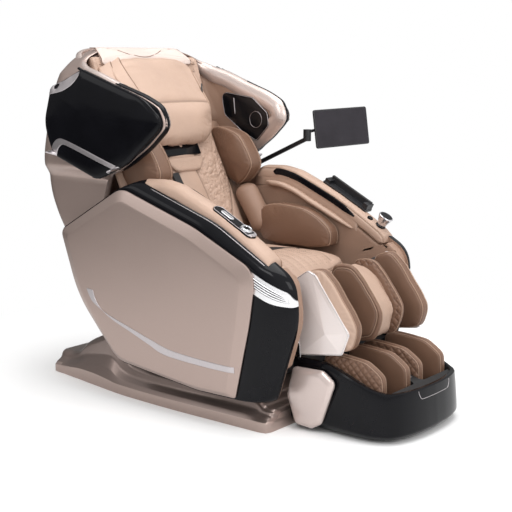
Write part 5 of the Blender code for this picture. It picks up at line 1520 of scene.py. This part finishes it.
rings = [[hood_face(p.x, p.y, out) for p in points] for points, out in
         ((capsule, -0.014), (capsule, 0.0000), (inset(capsule, 0.0012), 0.0026),
          (inset(capsule, 0.0040), 0.0046), (inset(capsule, 0.0090), 0.0060),
          (inset(capsule, 0.0180), 0.0068), (inset(capsule, 0.0300), 0.0072))]
hood_pad = keep(lofted(rings), "hood_pad", cream_leather, None, 0)
finer(hood_pad, 1)
smile = [hood_face(x - 0.01, 0.050 - 0.036 * math.cos(x / 0.118 * math.pi / 2), 0.0070)
         for x in np.linspace(-0.118, 0.118, 13)]
hood_skin = Surface(hood_pad)
line = as_array(hood_skin.nearest(p) for p in smooth_line(smile, 0.003))
pull_in(hood_pad, [(line, False)], 0.0014, 0.003)
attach(hood_pad, "backrest")
seam = keep(tube([hood_skin.nearest(p, 0.0004) for p in line], 0.0012), "hood_seam", dark_piping,
            "backrest", 0)
border = [hood_face(p.x, p.y, 0.0024) for p in inset(capsule, 0.0010)]
trim("hood_panel", tube(smooth_line(border[::2], 0.005, True), 0.0015, True), "hood_piping",
     dark_piping, "backrest", 0)

# The back of the head space is a plain tan panel that runs from the hood down to the back pad.
backing = rounded([(-0.280, 1.210, 0.02), (0.280, 1.210, 0.02), (0.282, 1.070, 0.02),
                   (-0.282, 1.070, 0.02)], 6)
rings = [[Vector((p.x, 0.586 + 0.30 * (p.y - 1.07) - 0.060 * abs(p.x / 0.28) ** 3 - out, p.y))
          for p in inset(backing, pull)] for pull, out in
         ((0, -0.020), (0, 0.008), (0.002, 0.012), (0.008, 0.0155), (0.030, 0.0170),
          (0.055, 0.0175))]
stuffed("head_lining", 0.85, lofted(rings), "head_backing", tan_leather, "backrest", 0)

slope = 0.55 * 0.90 * PILLOW_HALF
pillow, pillow_lines = upholstered(
    "head_pillow", "head_pillow_cover", tan_leather, 0.0055, 6,
    [around((0.90 * PILLOW_HALF, 0, 1.03), (1, 0, -slope)),
     around((-0.90 * PILLOW_HALF, 0, 1.03), (1, 0, slope)),
     run([(x, 0.38, 1.068 - 0.004 * (x / 0.2) ** 2) for x in np.linspace(-0.188, 0.188, 9)])],
    0.012, 0.0034, 0.006)
fitted(pillow, "pillow", "head_pillow")
bead = piping("pillow_piping", pillow, pillow_lines[:2], tan_piping, 0.0026)
sewn_in(bead, "pillow")
stitched("pillow_stitches", pillow, pillow_lines[2][0], "pillow", (0, 0, -0.004))
pillow_skin = Surface(pillow)
for number, path in enumerate((
        [(-0.168, 0.574, 1.205), (-0.190, 0.540, 1.184), (-0.210, 0.490, 1.148),
         (-0.220, 0.440, 1.105), (-0.222, 0.405, 1.070)],
        [(-0.206, 0.582, 1.204), (-0.228, 0.552, 1.180), (-0.250, 0.512, 1.145),
         (-0.260, 0.470, 1.105), (-0.260, 0.440, 1.070)])):
    line = [Vector(p) for p in smooth_line(path, 0.005)]
    half = 0.026
    one = [p + Vector((-half, 0.006, -half * 0.30)) for p in line]
    two = [p + Vector((half, -0.004, half * 0.30)) for p in line]
    strap = keep(laid_strip(one, two, (-0.3, -1, 0.3), 0.0060, 0.004, 7),
                 "pillow_strap_%d" % number, tan_leather, "pillow", 0)
    trim("head_pillow", tube([p + Vector((0, -0.0035, 0.0015)) for p in two], 0.0014),
         "pillow_strap_hem_%d" % number, dark_piping, "pillow", 0)
tag_at = pillow_skin.nearest((0.9 * PILLOW_HALF + 0.004, 0.45, 1.082), 0.0016)
tag = bmesh.new()
bmesh.ops.create_cone(tag, cap_ends=True, segments=4, radius1=0.5, radius2=0.5, depth=1,
                      matrix=Matrix.Translation(tag_at) @ rotation(48, "Z") @ rotation(90, "X")
                      @ Matrix.Diagonal((0.028, 0.056, 0.005, 1)))
bmesh.ops.bevel(tag, geom=tag.edges[:], offset=0.0006, segments=2, affect="EDGES")
trim("head_pillow", tag, "pillow_tag", black_plastic, "pillow", 30)


# ---------------------------------------------------------------- back pad
# The sitter's back: a smooth middle panel and a neck pad, gathered rosette quilting beside
# them and plain side strips, all in light tan leather over layered foam.
PAD_LINE = [
    (0.236, 0.522), (0.256, 0.570), (0.281, 0.625), (0.311, 0.690), (0.342, 0.755),
    (0.371, 0.815), (0.402, 0.877), (0.429, 0.935), (0.453, 0.985), (0.480, 1.040),
    (0.508, 1.095), (0.534, 1.142)]


def pad_at(x, z, out=0.0):
    """A point on the face of the back pad."""
    ys, zs = zip(*PAD_LINE)
    y = float(np.interp(z, zs, ys))
    return Vector((x, y - 0.90 * out, z + 0.43 * out))


def on_pad(outline, *steps):
    """A raised form on the back pad. Each step is how far it is drawn in and how far out."""
    return lofted([[pad_at(p.x, p.y, out) for p in inset(outline, pull)] for pull, out in steps])


centre_seams = [[pad_at(side * x, z) for x, z in
                 ((0.046, 0.812), (0.056, 0.76), (0.072, 0.69), (0.088, 0.62), (0.098, 0.56))]
                for side in (-1, 1)]
strip_seams = [[pad_at(side * x, z) for x, z in
                ((0.222, 0.735), (0.205, 0.69), (0.178, 0.63), (0.150, 0.57))] for side in (-1, 1)]
rim_seam = [pad_at(side * x, z) for side, zs in
            ((1, np.linspace(0.545, 1.10, 14)), (-1, np.linspace(1.10, 0.545, 14)))
            for x, z in [(PAD_HALF - 0.004, z) for z in zs]]
pad, pad_lines = upholstered("back_pad", "back_pad_cover", tan_leather, 0.0062, 4,
                             [run(rim_seam[:14]), run(rim_seam[14:])]
                             + [run(line) for line in centre_seams + strip_seams],
                             0.007, 0.004, 0.006)
places, normals = spots(pad), outward(pad)
x, z = np.abs(places[:, 0]), places[:, 2]
inner = np.interp(z, [0.56, 0.62, 0.69, 0.76, 0.812, 0.87, 1.15],
                  [0.098, 0.088, 0.072, 0.056, 0.046, 0.070, 0.070])
outer_edge = np.interp(z, [0.57, 0.63, 0.69, 0.735, 1.15], [0.150, 0.178, 0.205, 0.224, 0.224])
room = np.minimum(x - inner, outer_edge - x)
field = np.clip(room / 0.012, 0, 1) * np.clip((normals[:, 1] * -1 - 0.3) / 0.3, 0, 1)
heights_quilt = np.zeros(len(places))
for index in np.nonzero(field > 0)[0]:
    here = Vector(places[index])
    wander = noise.noise_vector(here / 0.060) * 0.010
    flat = Vector((here.x + wander.x, (here.z + wander.z) * 0.92, 0.0))
    near, _ = noise.voronoi(flat / 0.034, distance_metric="DISTANCE", exponent=2.5)
    petal, _ = noise.voronoi((flat + Vector((0.3, 0.1, 0))) / 0.0125, distance_metric="DISTANCE",
                             exponent=2.5)
    fold = noise.noise(here / 0.009)
    heights_quilt[index] = (0.0050 * min(near[1] - near[0], 0.5) * 2
                            + 0.0034 * min(petal[1] - petal[0], 0.5) * 2 + 0.0010 * fold)
moved_to(pad, places + normals * ((heights_quilt - 0.0035) * field)[:, None])
fitted(pad, "backrest", "back_pad")
bead = piping("back_pad_piping", pad, pad_lines[:2], tan_piping, 0.0026)
sewn_in(bead, "backrest")
for number, line in enumerate(pad_lines[2:]):
    stitched("back_stitches_%d" % number, pad, line[0], "backrest",
             (0.004 if number % 2 else -0.004, 0, 0))

# Neck pad, the glossy strip between it and the pillow, and the black pull strap beside it.
neck = [(-0.096, 0.838), (0.096, 0.838), (0.104, 0.824), (0.064, 0.786), (-0.064, 0.786),
        (-0.104, 0.824)]
outline = rounded([(x, z, 0.010) for x, z in neck], 6)
neck_pad = keep(on_pad(outline, (0, 0.000), (0, 0.010), (0.0016, 0.0135), (0.0050, 0.0160),
                       (0.0120, 0.0178)), "neck_pad", tan_leather, None, 0)
finer(neck_pad, 1)
neck_edge = as_array(pad_at(p.x, p.y, 0.0142) for p in inset(outline, 0.0020))
pull_in(neck_pad, [(neck_edge, True)], 0.0004, 0.003)
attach(neck_pad, "backrest")
strip = rounded([(x, z, 0.004) for x, z in ((-0.098, 0.843), (0.098, 0.843), (0.098, 0.886),
                                            (-0.098, 0.886))], 4)
trim("back_pad", on_pad(strip, (0, 0.000), (0, 0.0125), (0.0015, 0.0145)), "neck_strip",
     gloss_black, "backrest", 35)
pull = rounded([(x, z, 0.003) for x, z in ((-0.090, 0.730), (-0.054, 0.730), (-0.062, 0.784),
                                           (-0.098, 0.784))], 3)
trim("back_pad", on_pad(pull, (0, 0.000), (0, 0.0125), (0.0012, 0.0140)), "neck_strap", slot_black,
     "backrest", 35)

# A leather gusset, in the darker lining leather that paints shade, closes the space behind each
# shoulder pad.
for side, word, _ in HANDS:
    rings = []
    for z in np.linspace(0.560, 0.960, 12):
        face = pad_at(0, z).y
        rings.append([Vector((side * x, face + y, z)) for x, y in
                      ((0.205, 0.040), (0.262, 0.030), (0.318, 0.040), (0.318, 0.054), (0.262, 0.044),
                       (0.205, 0.054))])
    stuffed("back_pad", 0.7, lofted(rings), "back_gusset_" + word, lining_leather, "backrest", 0)

SHOULDER_EDGE = [(0.470, 0.962, 0.03), (0.290, 0.918, 0.04), (0.212, 0.800, 0.04),
                 (0.300, 0.712, 0.03), (0.400, 0.770, 0.05)]


def shoulder_seam(depth):
    """The piped edge of a shoulder pad, which flares towards the sitter at its front."""
    line = []
    for p in inset(rounded(SHOULDER_EDGE, 6), 0.001):
        face = pad_at(0, p.y).y
        fuller = min(max((face - 0.012 - p.x) / 0.06, 0.0), 1.0)
        line.append((ARM_X - 0.002 - depth * (1 + 0.40 * fuller), p.x, p.y))
    return run(line[::2], True)


shoulder, lines = upholstered("shoulder_cushion_left", "shoulder_pad_left", brown_leather, 0.0045,
                              4, [shoulder_seam(0.052), shoulder_seam(0.010)], 0.008, 0.003, 0.006,
                              shape=rounder(1, 2, 0.50))
bead = piping("shoulder_piping_left", shoulder, lines, tan_piping, 0.0022)
fitted_pair(shoulder, bead, "backrest", "shoulder_cushion_")


# ---------------------------------------------------------------- leg rest
# Calf channels: brown stuffed pads with piped edges, a two-lobed divider with a beige block,
# and a folded champagne shell with a bright edge line outside each pad.
CALF_SHELL_X = 0.2355
CALF_OUT = CALF_SHELL_X + 0.014
CALF_SHELL_EDGE = [
    (-0.326, 0.500, 0.02), (-0.376, 0.534, 0.02), (-0.408, 0.520, 0.02), (-0.540, 0.345, 0.02),
    (-0.512, 0.272, 0.02), (-0.345, 0.248, 0.01)]
CALF_SHELL_FACE = [
    (-0.334, 0.488, 0.003), (-0.370, 0.524, 0.003), (-0.396, 0.510, 0.003),
    (-0.520, 0.344, 0.003), (-0.498, 0.282, 0.003), (-0.352, 0.256, 0.003)]
cover_paint = painted("foot_cover_paint", (0.640, 0.535, 0.500), 0.45, 0.26)
calf_paint = painted("calf_shell_paint", (0.780, 0.700, 0.675), 0.15, 0.22)


def quilted(made, test, pitch, depth):
    """Diamond quilting on the faces of a stuffed cover that a test picks out, with painted shade in its
    valleys.
    """
    places, normals = spots(made), outward(made)
    share = np.array([1.0 if test(p, n) else 0.0 for p, n in zip(places, normals)])
    u = (places[:, 1] + places[:, 2]) / pitch
    v = (places[:, 1] - places[:, 2]) / pitch
    puff = np.minimum(np.abs(np.sin(math.pi * u)), np.abs(np.sin(math.pi * v))) ** 0.55
    moved_to(made, places - normals * (share * depth * (1 - puff))[:, None])
    # The valleys go into the seam mark as well, so the leather paints shade in them.
    marked = np.empty(len(places), dtype=np.float32)
    made.data.attributes["seam"].data.foreach_get("value", marked)
    dark = share * np.exp(-(puff / 0.22) ** 2) * 0.7
    made.data.attributes["seam"].data.foreach_set("value", np.maximum(marked, dark).astype(np.float32))


def folded_shell():
    edge, face = rounded(CALF_SHELL_EDGE, 5), rounded(CALF_SHELL_FACE, 5)
    rings = [stood_up(inset(edge, pull), CALF_SHELL_X + out)
             for pull, out in ((0.001, 0.0), (0, 0.0012), (0, 0.0042), (0.0016, 0.0060))]
    mesh = lofted(rings + [stood_up(face, CALF_OUT - 0.0072)])
    lid = max(mesh.faces, key=lambda f: f.calc_center_median().x)
    peak = bmesh.ops.poke(mesh, faces=[lid], offset=0)["verts"][0]
    peak.co = Vector((CALF_OUT + 0.0055, -0.455, 0.336))
    return mesh


calf_lip = [(p.x, p.y) for p in inset(rounded(CALF_SHELL_EDGE, 5), 0.0028)]
calf_pad, lines = upholstered("calf_pad_left", "calf_cover_left", brown_leather, 0.0045, 4,
                              [around((CALF_SHELL_X - 0.0005 - 0.043, 0, 0), (1, 0, 0)),
                               around((CALF_SHELL_X - 0.0005 - 0.014, 0, 0), (1, 0, 0))],
                              0.007, 0.003, 0.006, shape=rounder(1, 2, 0.6))
two_tone(calf_pad, tan_leather, lambda p, n: p.x > CALF_SHELL_X - 0.0145)
calf_bead = piping("calf_piping_left", calf_pad, lines, tan_piping, 0.0018)
fitted_pair(calf_pad, calf_bead, "leg", "calf_pad_")
for side, word, handed in HANDS:
    shell = keep(handed(folded_shell()), "calf_cover_shell_" + word, calf_paint, "leg", 3)
    for face in shell.data.polygons:
        if max(abs(shell.data.vertices[k].co.x) for k in face.vertices) > CALF_OUT + 0.005:
            face.use_smooth = False
    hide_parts("calf_shell_" + word)
    line = smooth_line([(side * (CALF_SHELL_X + 0.0058), y, z) for y, z in calf_lip[::2]], 0.006, True)
    trim("calf_shell_" + word, tube(line, 0.0013, True), "calf_edge_bead_" + word, chrome, "leg", 0)

def divider_form(made):
    """The lobes bulge between their corners and the middle block comes forward."""
    rounder(1, 2, 0.5)(made)
    places = spots(made)
    block = (np.abs(places[:, 0]) < 0.0515) & (places[:, 1] < -0.36)
    places[:, 1] -= np.where(block, 0.030 * np.clip((-0.36 - places[:, 1]) / 0.06, 0, 1), 0)
    places[:, 2] += np.where(block, 0.012 * np.clip((places[:, 2] - 0.42) / 0.06, 0, 1), 0)
    moved_to(made, places)


divider, lines = upholstered("calf_divider", "calf_divider_cover", brown_leather, 0.0045, 3,
                             [around((s * x, 0, 0), (1, 0, 0)) for s in (-1, 1)
                              for x in (0.0795, 0.0620)], 0.005, 0.003, 0.005,
                             shape=divider_form)
quilted(divider, lambda p, n: 0.053 < abs(p[0]) < 0.067 and n[0] * p[0] < 0 and abs(n[0]) > 0.4,
        0.030, 0.0045)
two_tone(divider, tan_leather, lambda p, n: abs(p.x) < 0.0505)
fitted(divider, "leg", "calf_divider")
bead = piping("calf_divider_piping", divider, lines, tan_piping, 0.0017)
sewn_in(bead, "leg")


# ---------------------------------------------------------------- foot box
# A gloss black tub with two foot wells, champagne side covers, a matt deck and four slim
# pads whose outward faces are quilted. A silver line marks the drawer in its front.
FOOT_PLAN = [
    (0.246, -0.316), (0.250, -0.450), (0.250, -0.560), (0.243, -0.620), (0.222, -0.668),
    (0.190, -0.697), (0.136, -0.716), (0.070, -0.726), (0.000, -0.729)]
FOOT_COVER_EDGE = [
    (-0.334, 0.212, 0.02), (-0.452, 0.216, 0.03), (-0.500, 0.182, 0.025), (-0.448, 0.036, 0.03),
    (-0.410, 0.014, 0.02), (-0.344, 0.018, 0.02), (-0.309, 0.112, 0.03)]
WELL_IN, WELL_OUT, WELL_FLOOR, WELL_FRONT, WELL_REAR = 0.022, 0.205, 0.034, -0.656, -0.404


def foot_rim(y):
    """Height of the tub's rim, which rises towards the rear."""
    share = min(max((y + 0.660) / 0.230, 0.0), 1.0)
    share = share * share * (3 - 2 * share) * 0.35 + share * 0.65
    return 0.165 + 0.073 * share


def tub():
    half = smooth_line([(x, y, 0) for x, y in FOOT_PLAN], 0.010)
    plan = [Vector((x, y)) for x, y, _ in half] + [Vector((-x, y)) for x, y, _ in half[-2::-1]]
    plan[len(half) - 1].x = 0.0
    rings = []
    for share, pull in ((0.0, 0.026), (0.03, 0.017), (0.10, 0.004), (0.13, 0.0008), (0.17, 0.0),
                        (0.35, 0.0015), (0.55, 0.004), (0.75, 0.0068), (0.93, 0.0100), (0.975, 0.0112),
                        (1.0, 0.0150)):
        rings.append([Vector((p.x, p.y, 0.010 + (foot_rim(p.y) - 0.010) * share))
                      for p in inset(plan, pull)])
    for pull, drop in ((0.0245, 0.0), (0.0275, 0.0015), (0.030, 0.008)):
        rings.append([Vector((p.x, p.y, foot_rim(p.y) - drop)) for p in inset(plan, pull)])
    mesh = bmesh.new()
    rows = [[mesh.verts.new(point) for point in ring] for ring in rings]
    count = len(rows[0])
    for low, high in zip(rows, rows[1:]):
        for index in range(count):
            other = (index + 1) % count
            mesh.faces.new((low[index], low[other], high[other], high[index]))
    for row in (rows[0], rows[-1]):
        for index in range(count // 2):
            strip = [row[index], row[index + 1], row[-2 - index], row[-1 - index]]
            mesh.faces.new(list(dict.fromkeys(strip)))
    bmesh.ops.recalc_face_normals(mesh, faces=mesh.faces)
    return mesh


box_piece = keep(tub(), "foot_tub", gloss_black, None, 30)
wells = []
for side in (-1, 1):
    low, high = sorted((side * WELL_IN, side * WELL_OUT))
    outline = rounded([(low, WELL_FRONT, 0.020), (high, WELL_FRONT, 0.020), (high, WELL_REAR, 0.006),
                       (low, WELL_REAR, 0.006)], 5)
    wells.append(lofted([[Vector((p.x, p.y, z)) for p in outline] for z in (WELL_FLOOR, 0.30)]))
cut_out(box_piece, *wells)
deck_black = coated_metal("matt_deck", (0.012, 0.012, 0.013), 0.0, 0.62, 0.0012)
two_tone(box_piece, deck_black, lambda p, n: (
    (WELL_FRONT - 0.002 < p.y < WELL_REAR + 0.002 and p.z < 0.15 and abs(p.x) < WELL_OUT + 0.002)
    or (n.z > 0.85 and p.z < foot_rim(p.y) - 0.006)))
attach(box_piece, "foot")
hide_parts("foot_box")
tub_skin = Surface(box_piece)
drawer = [(0.098, 0.158), (0.095, 0.146), (0.086, 0.1335), (0.070, 0.131)]
drawer = ([(-x, -0.76, z) for x, z in drawer] + [(0, -0.76, 0.131)]
          + [(x, -0.76, z) for x, z in reversed(drawer)])
line = [tub_skin.along(p, (0, 1, 0)) for p in smooth_line(drawer, 0.004)]
trim("foot_box", tube([p for p in line if p], 0.0010), "drawer_line", satin_silver, "foot", 0)
ys = np.linspace(-0.565, -0.625, 12)
one = [tub_skin.below(-0.009, y) for y in ys]
two = [tub_skin.below(0.009, y) for y in ys]
trim("foot_box", laid_strip(one, two, (0, 0, 1), 0.0022, 0.003), "well_divider_trim", satin_silver,
     "foot", 40)

edge = rounded(FOOT_COVER_EDGE, 6)
COVER_X = FOOT_PLAN[1][0] + 0.0005
cover_rings = [stood_up(inset(edge, pull), COVER_X + out)
               for pull, out in ((0.002, 0.0), (0, 0.003), (0, 0.009), (0.0014, 0.0115))]
cover_rings += [stood_up(drawn_in(edge, factor), COVER_X + out)
                for factor, out in ((0.92, 0.016), (0.84, 0.0192), (0.78, 0.020), (0.4, 0.020))]
WELL_INSIDE, WELL_OUTSIDE = WELL_IN + 0.0005, WELL_OUT - 0.0005
for place, seams, test in (
        ("outer", (WELL_OUTSIDE - 0.0305, WELL_OUTSIDE - 0.006), lambda p, n: n[0] > 0.5),
        ("inner", (WELL_INSIDE + 0.0305, WELL_INSIDE + 0.006), lambda p, n: n[0] < -0.5)):
    pad_here, lines = upholstered("foot_pad_%s_left" % place, "foot_%s_cover_left" % place,
                                  brown_leather, 0.0042, 3,
                                  [around((x, 0, 0), (1, 0, 0)) for x in seams],
                                  0.004, 0.0028, 0.005, shape=rounder(1, 2, 0.28, 0.26))
    quilted(pad_here, test, 0.028, 0.0042)
    bead_here = piping("foot_%s_piping_left" % place, pad_here, lines, tan_piping, 0.0016)
    fitted_pair(pad_here, bead_here, "foot", "foot_pad_%s_" % place)
for _, word, handed in HANDS:
    cover = keep(handed(lofted(cover_rings)), "foot_side_cover_" + word, cover_paint, "foot", 35)
    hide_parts("foot_cover_" + word)


# ---------------------------------------------------------------- controls
# Let into the right armrest: a black console with a silver pad and a ringed dial. On the left
# armrest: a glossy inlay, a phone cradle and a cone-shaped hand control in its socket.
CONTROL_Y = -0.150
DOME_Y = -0.284
DOME_X = ARM_X + 0.040


def on_arm(y, side, x):
    """A frame on the armrest's top: first axis inwards, second to the rear, third up."""
    for (y0, z0), (y1, z1) in zip(ARM_LINE, ARM_LINE[1:]):
        if y1 <= y <= y0:
            z = z0 + (z1 - z0) * (y0 - y) / (y0 - y1)
            fall = math.atan2(z0 - z1, y0 - y1)
            return Matrix.Translation((side * x, y, z)) @ Matrix.Rotation(fall, 4, "X")


def turned(profile, place, sides=40):
    """A lathed form from (height, radius) pairs, stood in a frame."""
    rings = [[place @ Vector((r * math.cos(a), r * math.sin(a), h))
              for a in circle(sides)] for h, r in profile]
    return lofted(rings)


moulding("control_console", gloss_black, "seat", 0.0010, 40)
pad_silver = silver_trim("pad_silver", (0.72, 0.71, 0.73), 0.22)
moulding("start_button", pad_silver, "button", 0.0012, 30)
plate_at = on_arm(CONTROL_Y, -1, (ARM_X + ARM_OUT) / 2)
dial_at = plate_at @ Matrix.Translation((0, -0.052, 0))
dial = keep(turned([(-0.0005, 0.0190), (0.0005, 0.0205), (0.0085, 0.0205), (0.0105, 0.0200),
                    (0.0122, 0.0186), (0.0124, 0.0172), (0.0116, 0.0162), (0.0116, 0.0150),
                    (0.0124, 0.0142), (0.0124, 0.0126), (0.0114, 0.0116), (0.0108, 0.0060),
                    (0.0106, 0.0010)], dial_at), "dial_knob", chrome, "dial", 30)
two_tone(dial, gloss_black, lambda p, n: (dial_at.inverted() @ p).xy.length < 0.0152
         and not 0.0120 < (dial_at.inverted() @ p).xy.length < 0.0146)
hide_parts("control_dial")
ridge_tree = row_of_bars("dial_ridges")
ring = [dial_at @ Vector((0.0204 * math.cos(a), 0.0204 * math.sin(a), 0.0045))
        for a in np.linspace(0, 2 * math.pi, 49)]
ridges = run_tree("dial_ridge_ring", ring, ridge_tree, "dial", Count=49,
                  Size=(0.0011, 0.0011, 0.0055), Finish=bright_steel)
outline = [plate_at @ Vector((x, y, 0.0042)) for x, y in
           [(0.0212 * math.cos(a), 0.0705 * (1 if math.sin(a) > 0 else -1) + 0.0212 * math.sin(a))
            for a in np.linspace(0, 2 * math.pi, 49)[:-1]]]
trim("control_console", tube(smooth_line(outline, 0.004, True), 0.0009, True), "console_bead",
     satin_silver, "seat", 0)
end_piece = rounded([(-0.015, -0.0905, 0.006), (0.015, -0.0905, 0.006), (0.019, -0.0780, 0.003),
                     (-0.019, -0.0780, 0.003)], 4)
rings = [[plate_at @ Vector((p.x, p.y, h)) for p in points] for points, h in
         ((end_piece, 0.002), (end_piece, 0.0055), (inset(end_piece, 0.0012), 0.0070))]
trim("control_console", lofted(rings), "console_end_piece", satin_silver, "seat", 35)

moulding("phone_cradle", black_plastic, "seat", 0.0014, 30)
socket_at = on_arm(DOME_Y, 1, DOME_X)
cone = keep(turned([(-0.0070, 0.0130), (-0.0058, 0.0150), (0.0060, 0.0150), (0.0068, 0.0156),
                    (0.0240, 0.0212), (0.0400, 0.0265), (0.0440, 0.0275), (0.0466, 0.0272),
                    (0.0482, 0.0256), (0.0478, 0.0236), (0.0468, 0.0226), (0.0468, 0.0150),
                    (0.0474, 0.0142), (0.0474, 0.0020)], socket_at), "hand_control_cone",
            pad_silver, "hand_control", 30)
two_tone(cone, gloss_black, lambda p, n: (socket_at.inverted() @ p).z > 0.0455
         and (socket_at.inverted() @ p).xy.length < 0.0238)
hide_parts("hand_control")
KEY_X, KEY_Y = ARM_X + 0.030, -0.246
key_at = on_arm(KEY_Y, 1, KEY_X)
key_at.translation = Surface(arms["left"]).below(KEY_X, KEY_Y)
trim("armrest_left", turned([(-0.003, 0.011), (0.0024, 0.011), (0.004, 0.0098)], key_at, 32),
     "arm_key", gloss_black, "seat", 30)
collar = [(-0.004, 0.0158), (-0.004, 0.0195), (0.0012, 0.0195), (0.0020, 0.0185),
          (0.0020, 0.0166), (0.0012, 0.0158)]
trim("armrest_left", turned(collar, socket_at @ Matrix.Translation((0, 0, 0.0032)), 32),
     "socket_collar", gloss_black, "seat", 30)


def along_arm(rear, front, count):
    """Places along the armrest, each with the height of its top there."""
    ys = np.linspace(rear, front, count)
    return list(zip(ys, eased([-y for y, _ in ARM_LINE], [z for _, z in ARM_LINE], -ys)))


# A black inlay runs along the sitter's side of each armrest, a tan skirt hangs behind it and
# a soft lip stands out below.
for side, word, _ in HANDS:
    upper, lower = [], []
    for y, z in along_arm(0.178, -0.196, 60):
        ease = min((0.178 - y) / 0.012, (y + 0.196) / 0.05, 1.0)
        ease = max(ease, 0.0) ** 0.5
        upper.append(Vector((side * (ARM_X + 0.0015), y, z - 0.0200 + 0.0120 * ease)))
        lower.append(Vector((side * (ARM_X - 0.0015), y, z - 0.0210 - 0.0110 * ease)))
    trim("armrest_" + word, laid_strip(upper, lower, (-side, 0, 0), 0.0018, 0.006),
         "armrest_inlay_" + word, gloss_black, "seat", 40)
    rings = []
    tops = along_arm(0.224, -0.206, 40)
    for y, z in [(0.268, tops[0][1] - 0.004)] + tops:
        rings.append([Vector((side * x, y, z - drop)) for x, drop in
                      ((ARM_X + 0.034, 0.016), (ARM_X + 0.004, 0.016), (ARM_X + 0.0015, 0.024),
                       (ARM_X + 0.0015, 0.068), (ARM_X + 0.006, 0.078), (ARM_X + 0.034, 0.078))])
    stuffed("side_lining_" + word, 0.7, lofted(rings), "arm_skirt_" + word, tan_leather, "seat", 0)
    rings = []
    for index, (y, z) in enumerate(along_arm(0.214, -0.188, 50)):
        ease = min(index / 5, (49 - index) / 12, 1.0) ** 0.5
        wide, thick = 0.006 + 0.028 * ease, 0.003 + 0.0075 * ease
        middle = z - 0.060 - 0.010 * min(index / 25, 1)
        ring = []
        for a in circle(16):
            across = math.copysign(abs(math.cos(a)) ** 0.7, math.cos(a))
            ring.append(Vector((side * (SEAT_HALF + 0.004 - wide / 2 + across * wide / 2 * -1), y,
                                middle + thick * math.sin(a) - 0.10 * (wide / 2) * (1 - across))))
        rings.append(ring)
    stuffed("side_lining_" + word, 0.7, lofted(rings), "arm_lip_" + word, tan_leather, "seat", 0)


# ---------------------------------------------------------------- tablet
# A tablet on a two-part arm of black die-cast aluminium, clamped to the left side cover.
for node in ("tablet_bracket", "tablet_arm", "tablet_link"):
    moulding(node, black_plastic, "seat" if node == "tablet_bracket" else node, 0.0012, 30)
tablet_case = coated_metal("tablet_case", (0.030, 0.029, 0.032), 0.3, 0.38, 0.0008)
moulding("tablet", tablet_case, "tablet", 0.0012, 30)
screen_glass = lacquer("screen_glass", (0.026, 0.023, 0.028), 0.14, 0.20)
TABLET_AT = Vector((PANEL_OUT + 0.0005 + 0.148, 0.048, 0.938))
TABLET_TURN = rotation(-12.5, "Z") @ rotation(-1.5, "Y") @ rotation(-8, "X")
glass = rounded([(-0.1370, -0.0695, 0.004), (0.1370, -0.0695, 0.004), (0.1370, 0.0695, 0.004),
                 (-0.1370, 0.0695, 0.004)], 4)
rings = [[Matrix.Translation(TABLET_AT) @ TABLET_TURN @ Vector((p.x, out, p.y)) for p in points]
         for points, out in ((glass, -0.0030), (glass, -0.0043), (inset(glass, 0.0006), -0.0047))]
trim("tablet", lofted(rings), "tablet_screen", screen_glass, "tablet", 30)
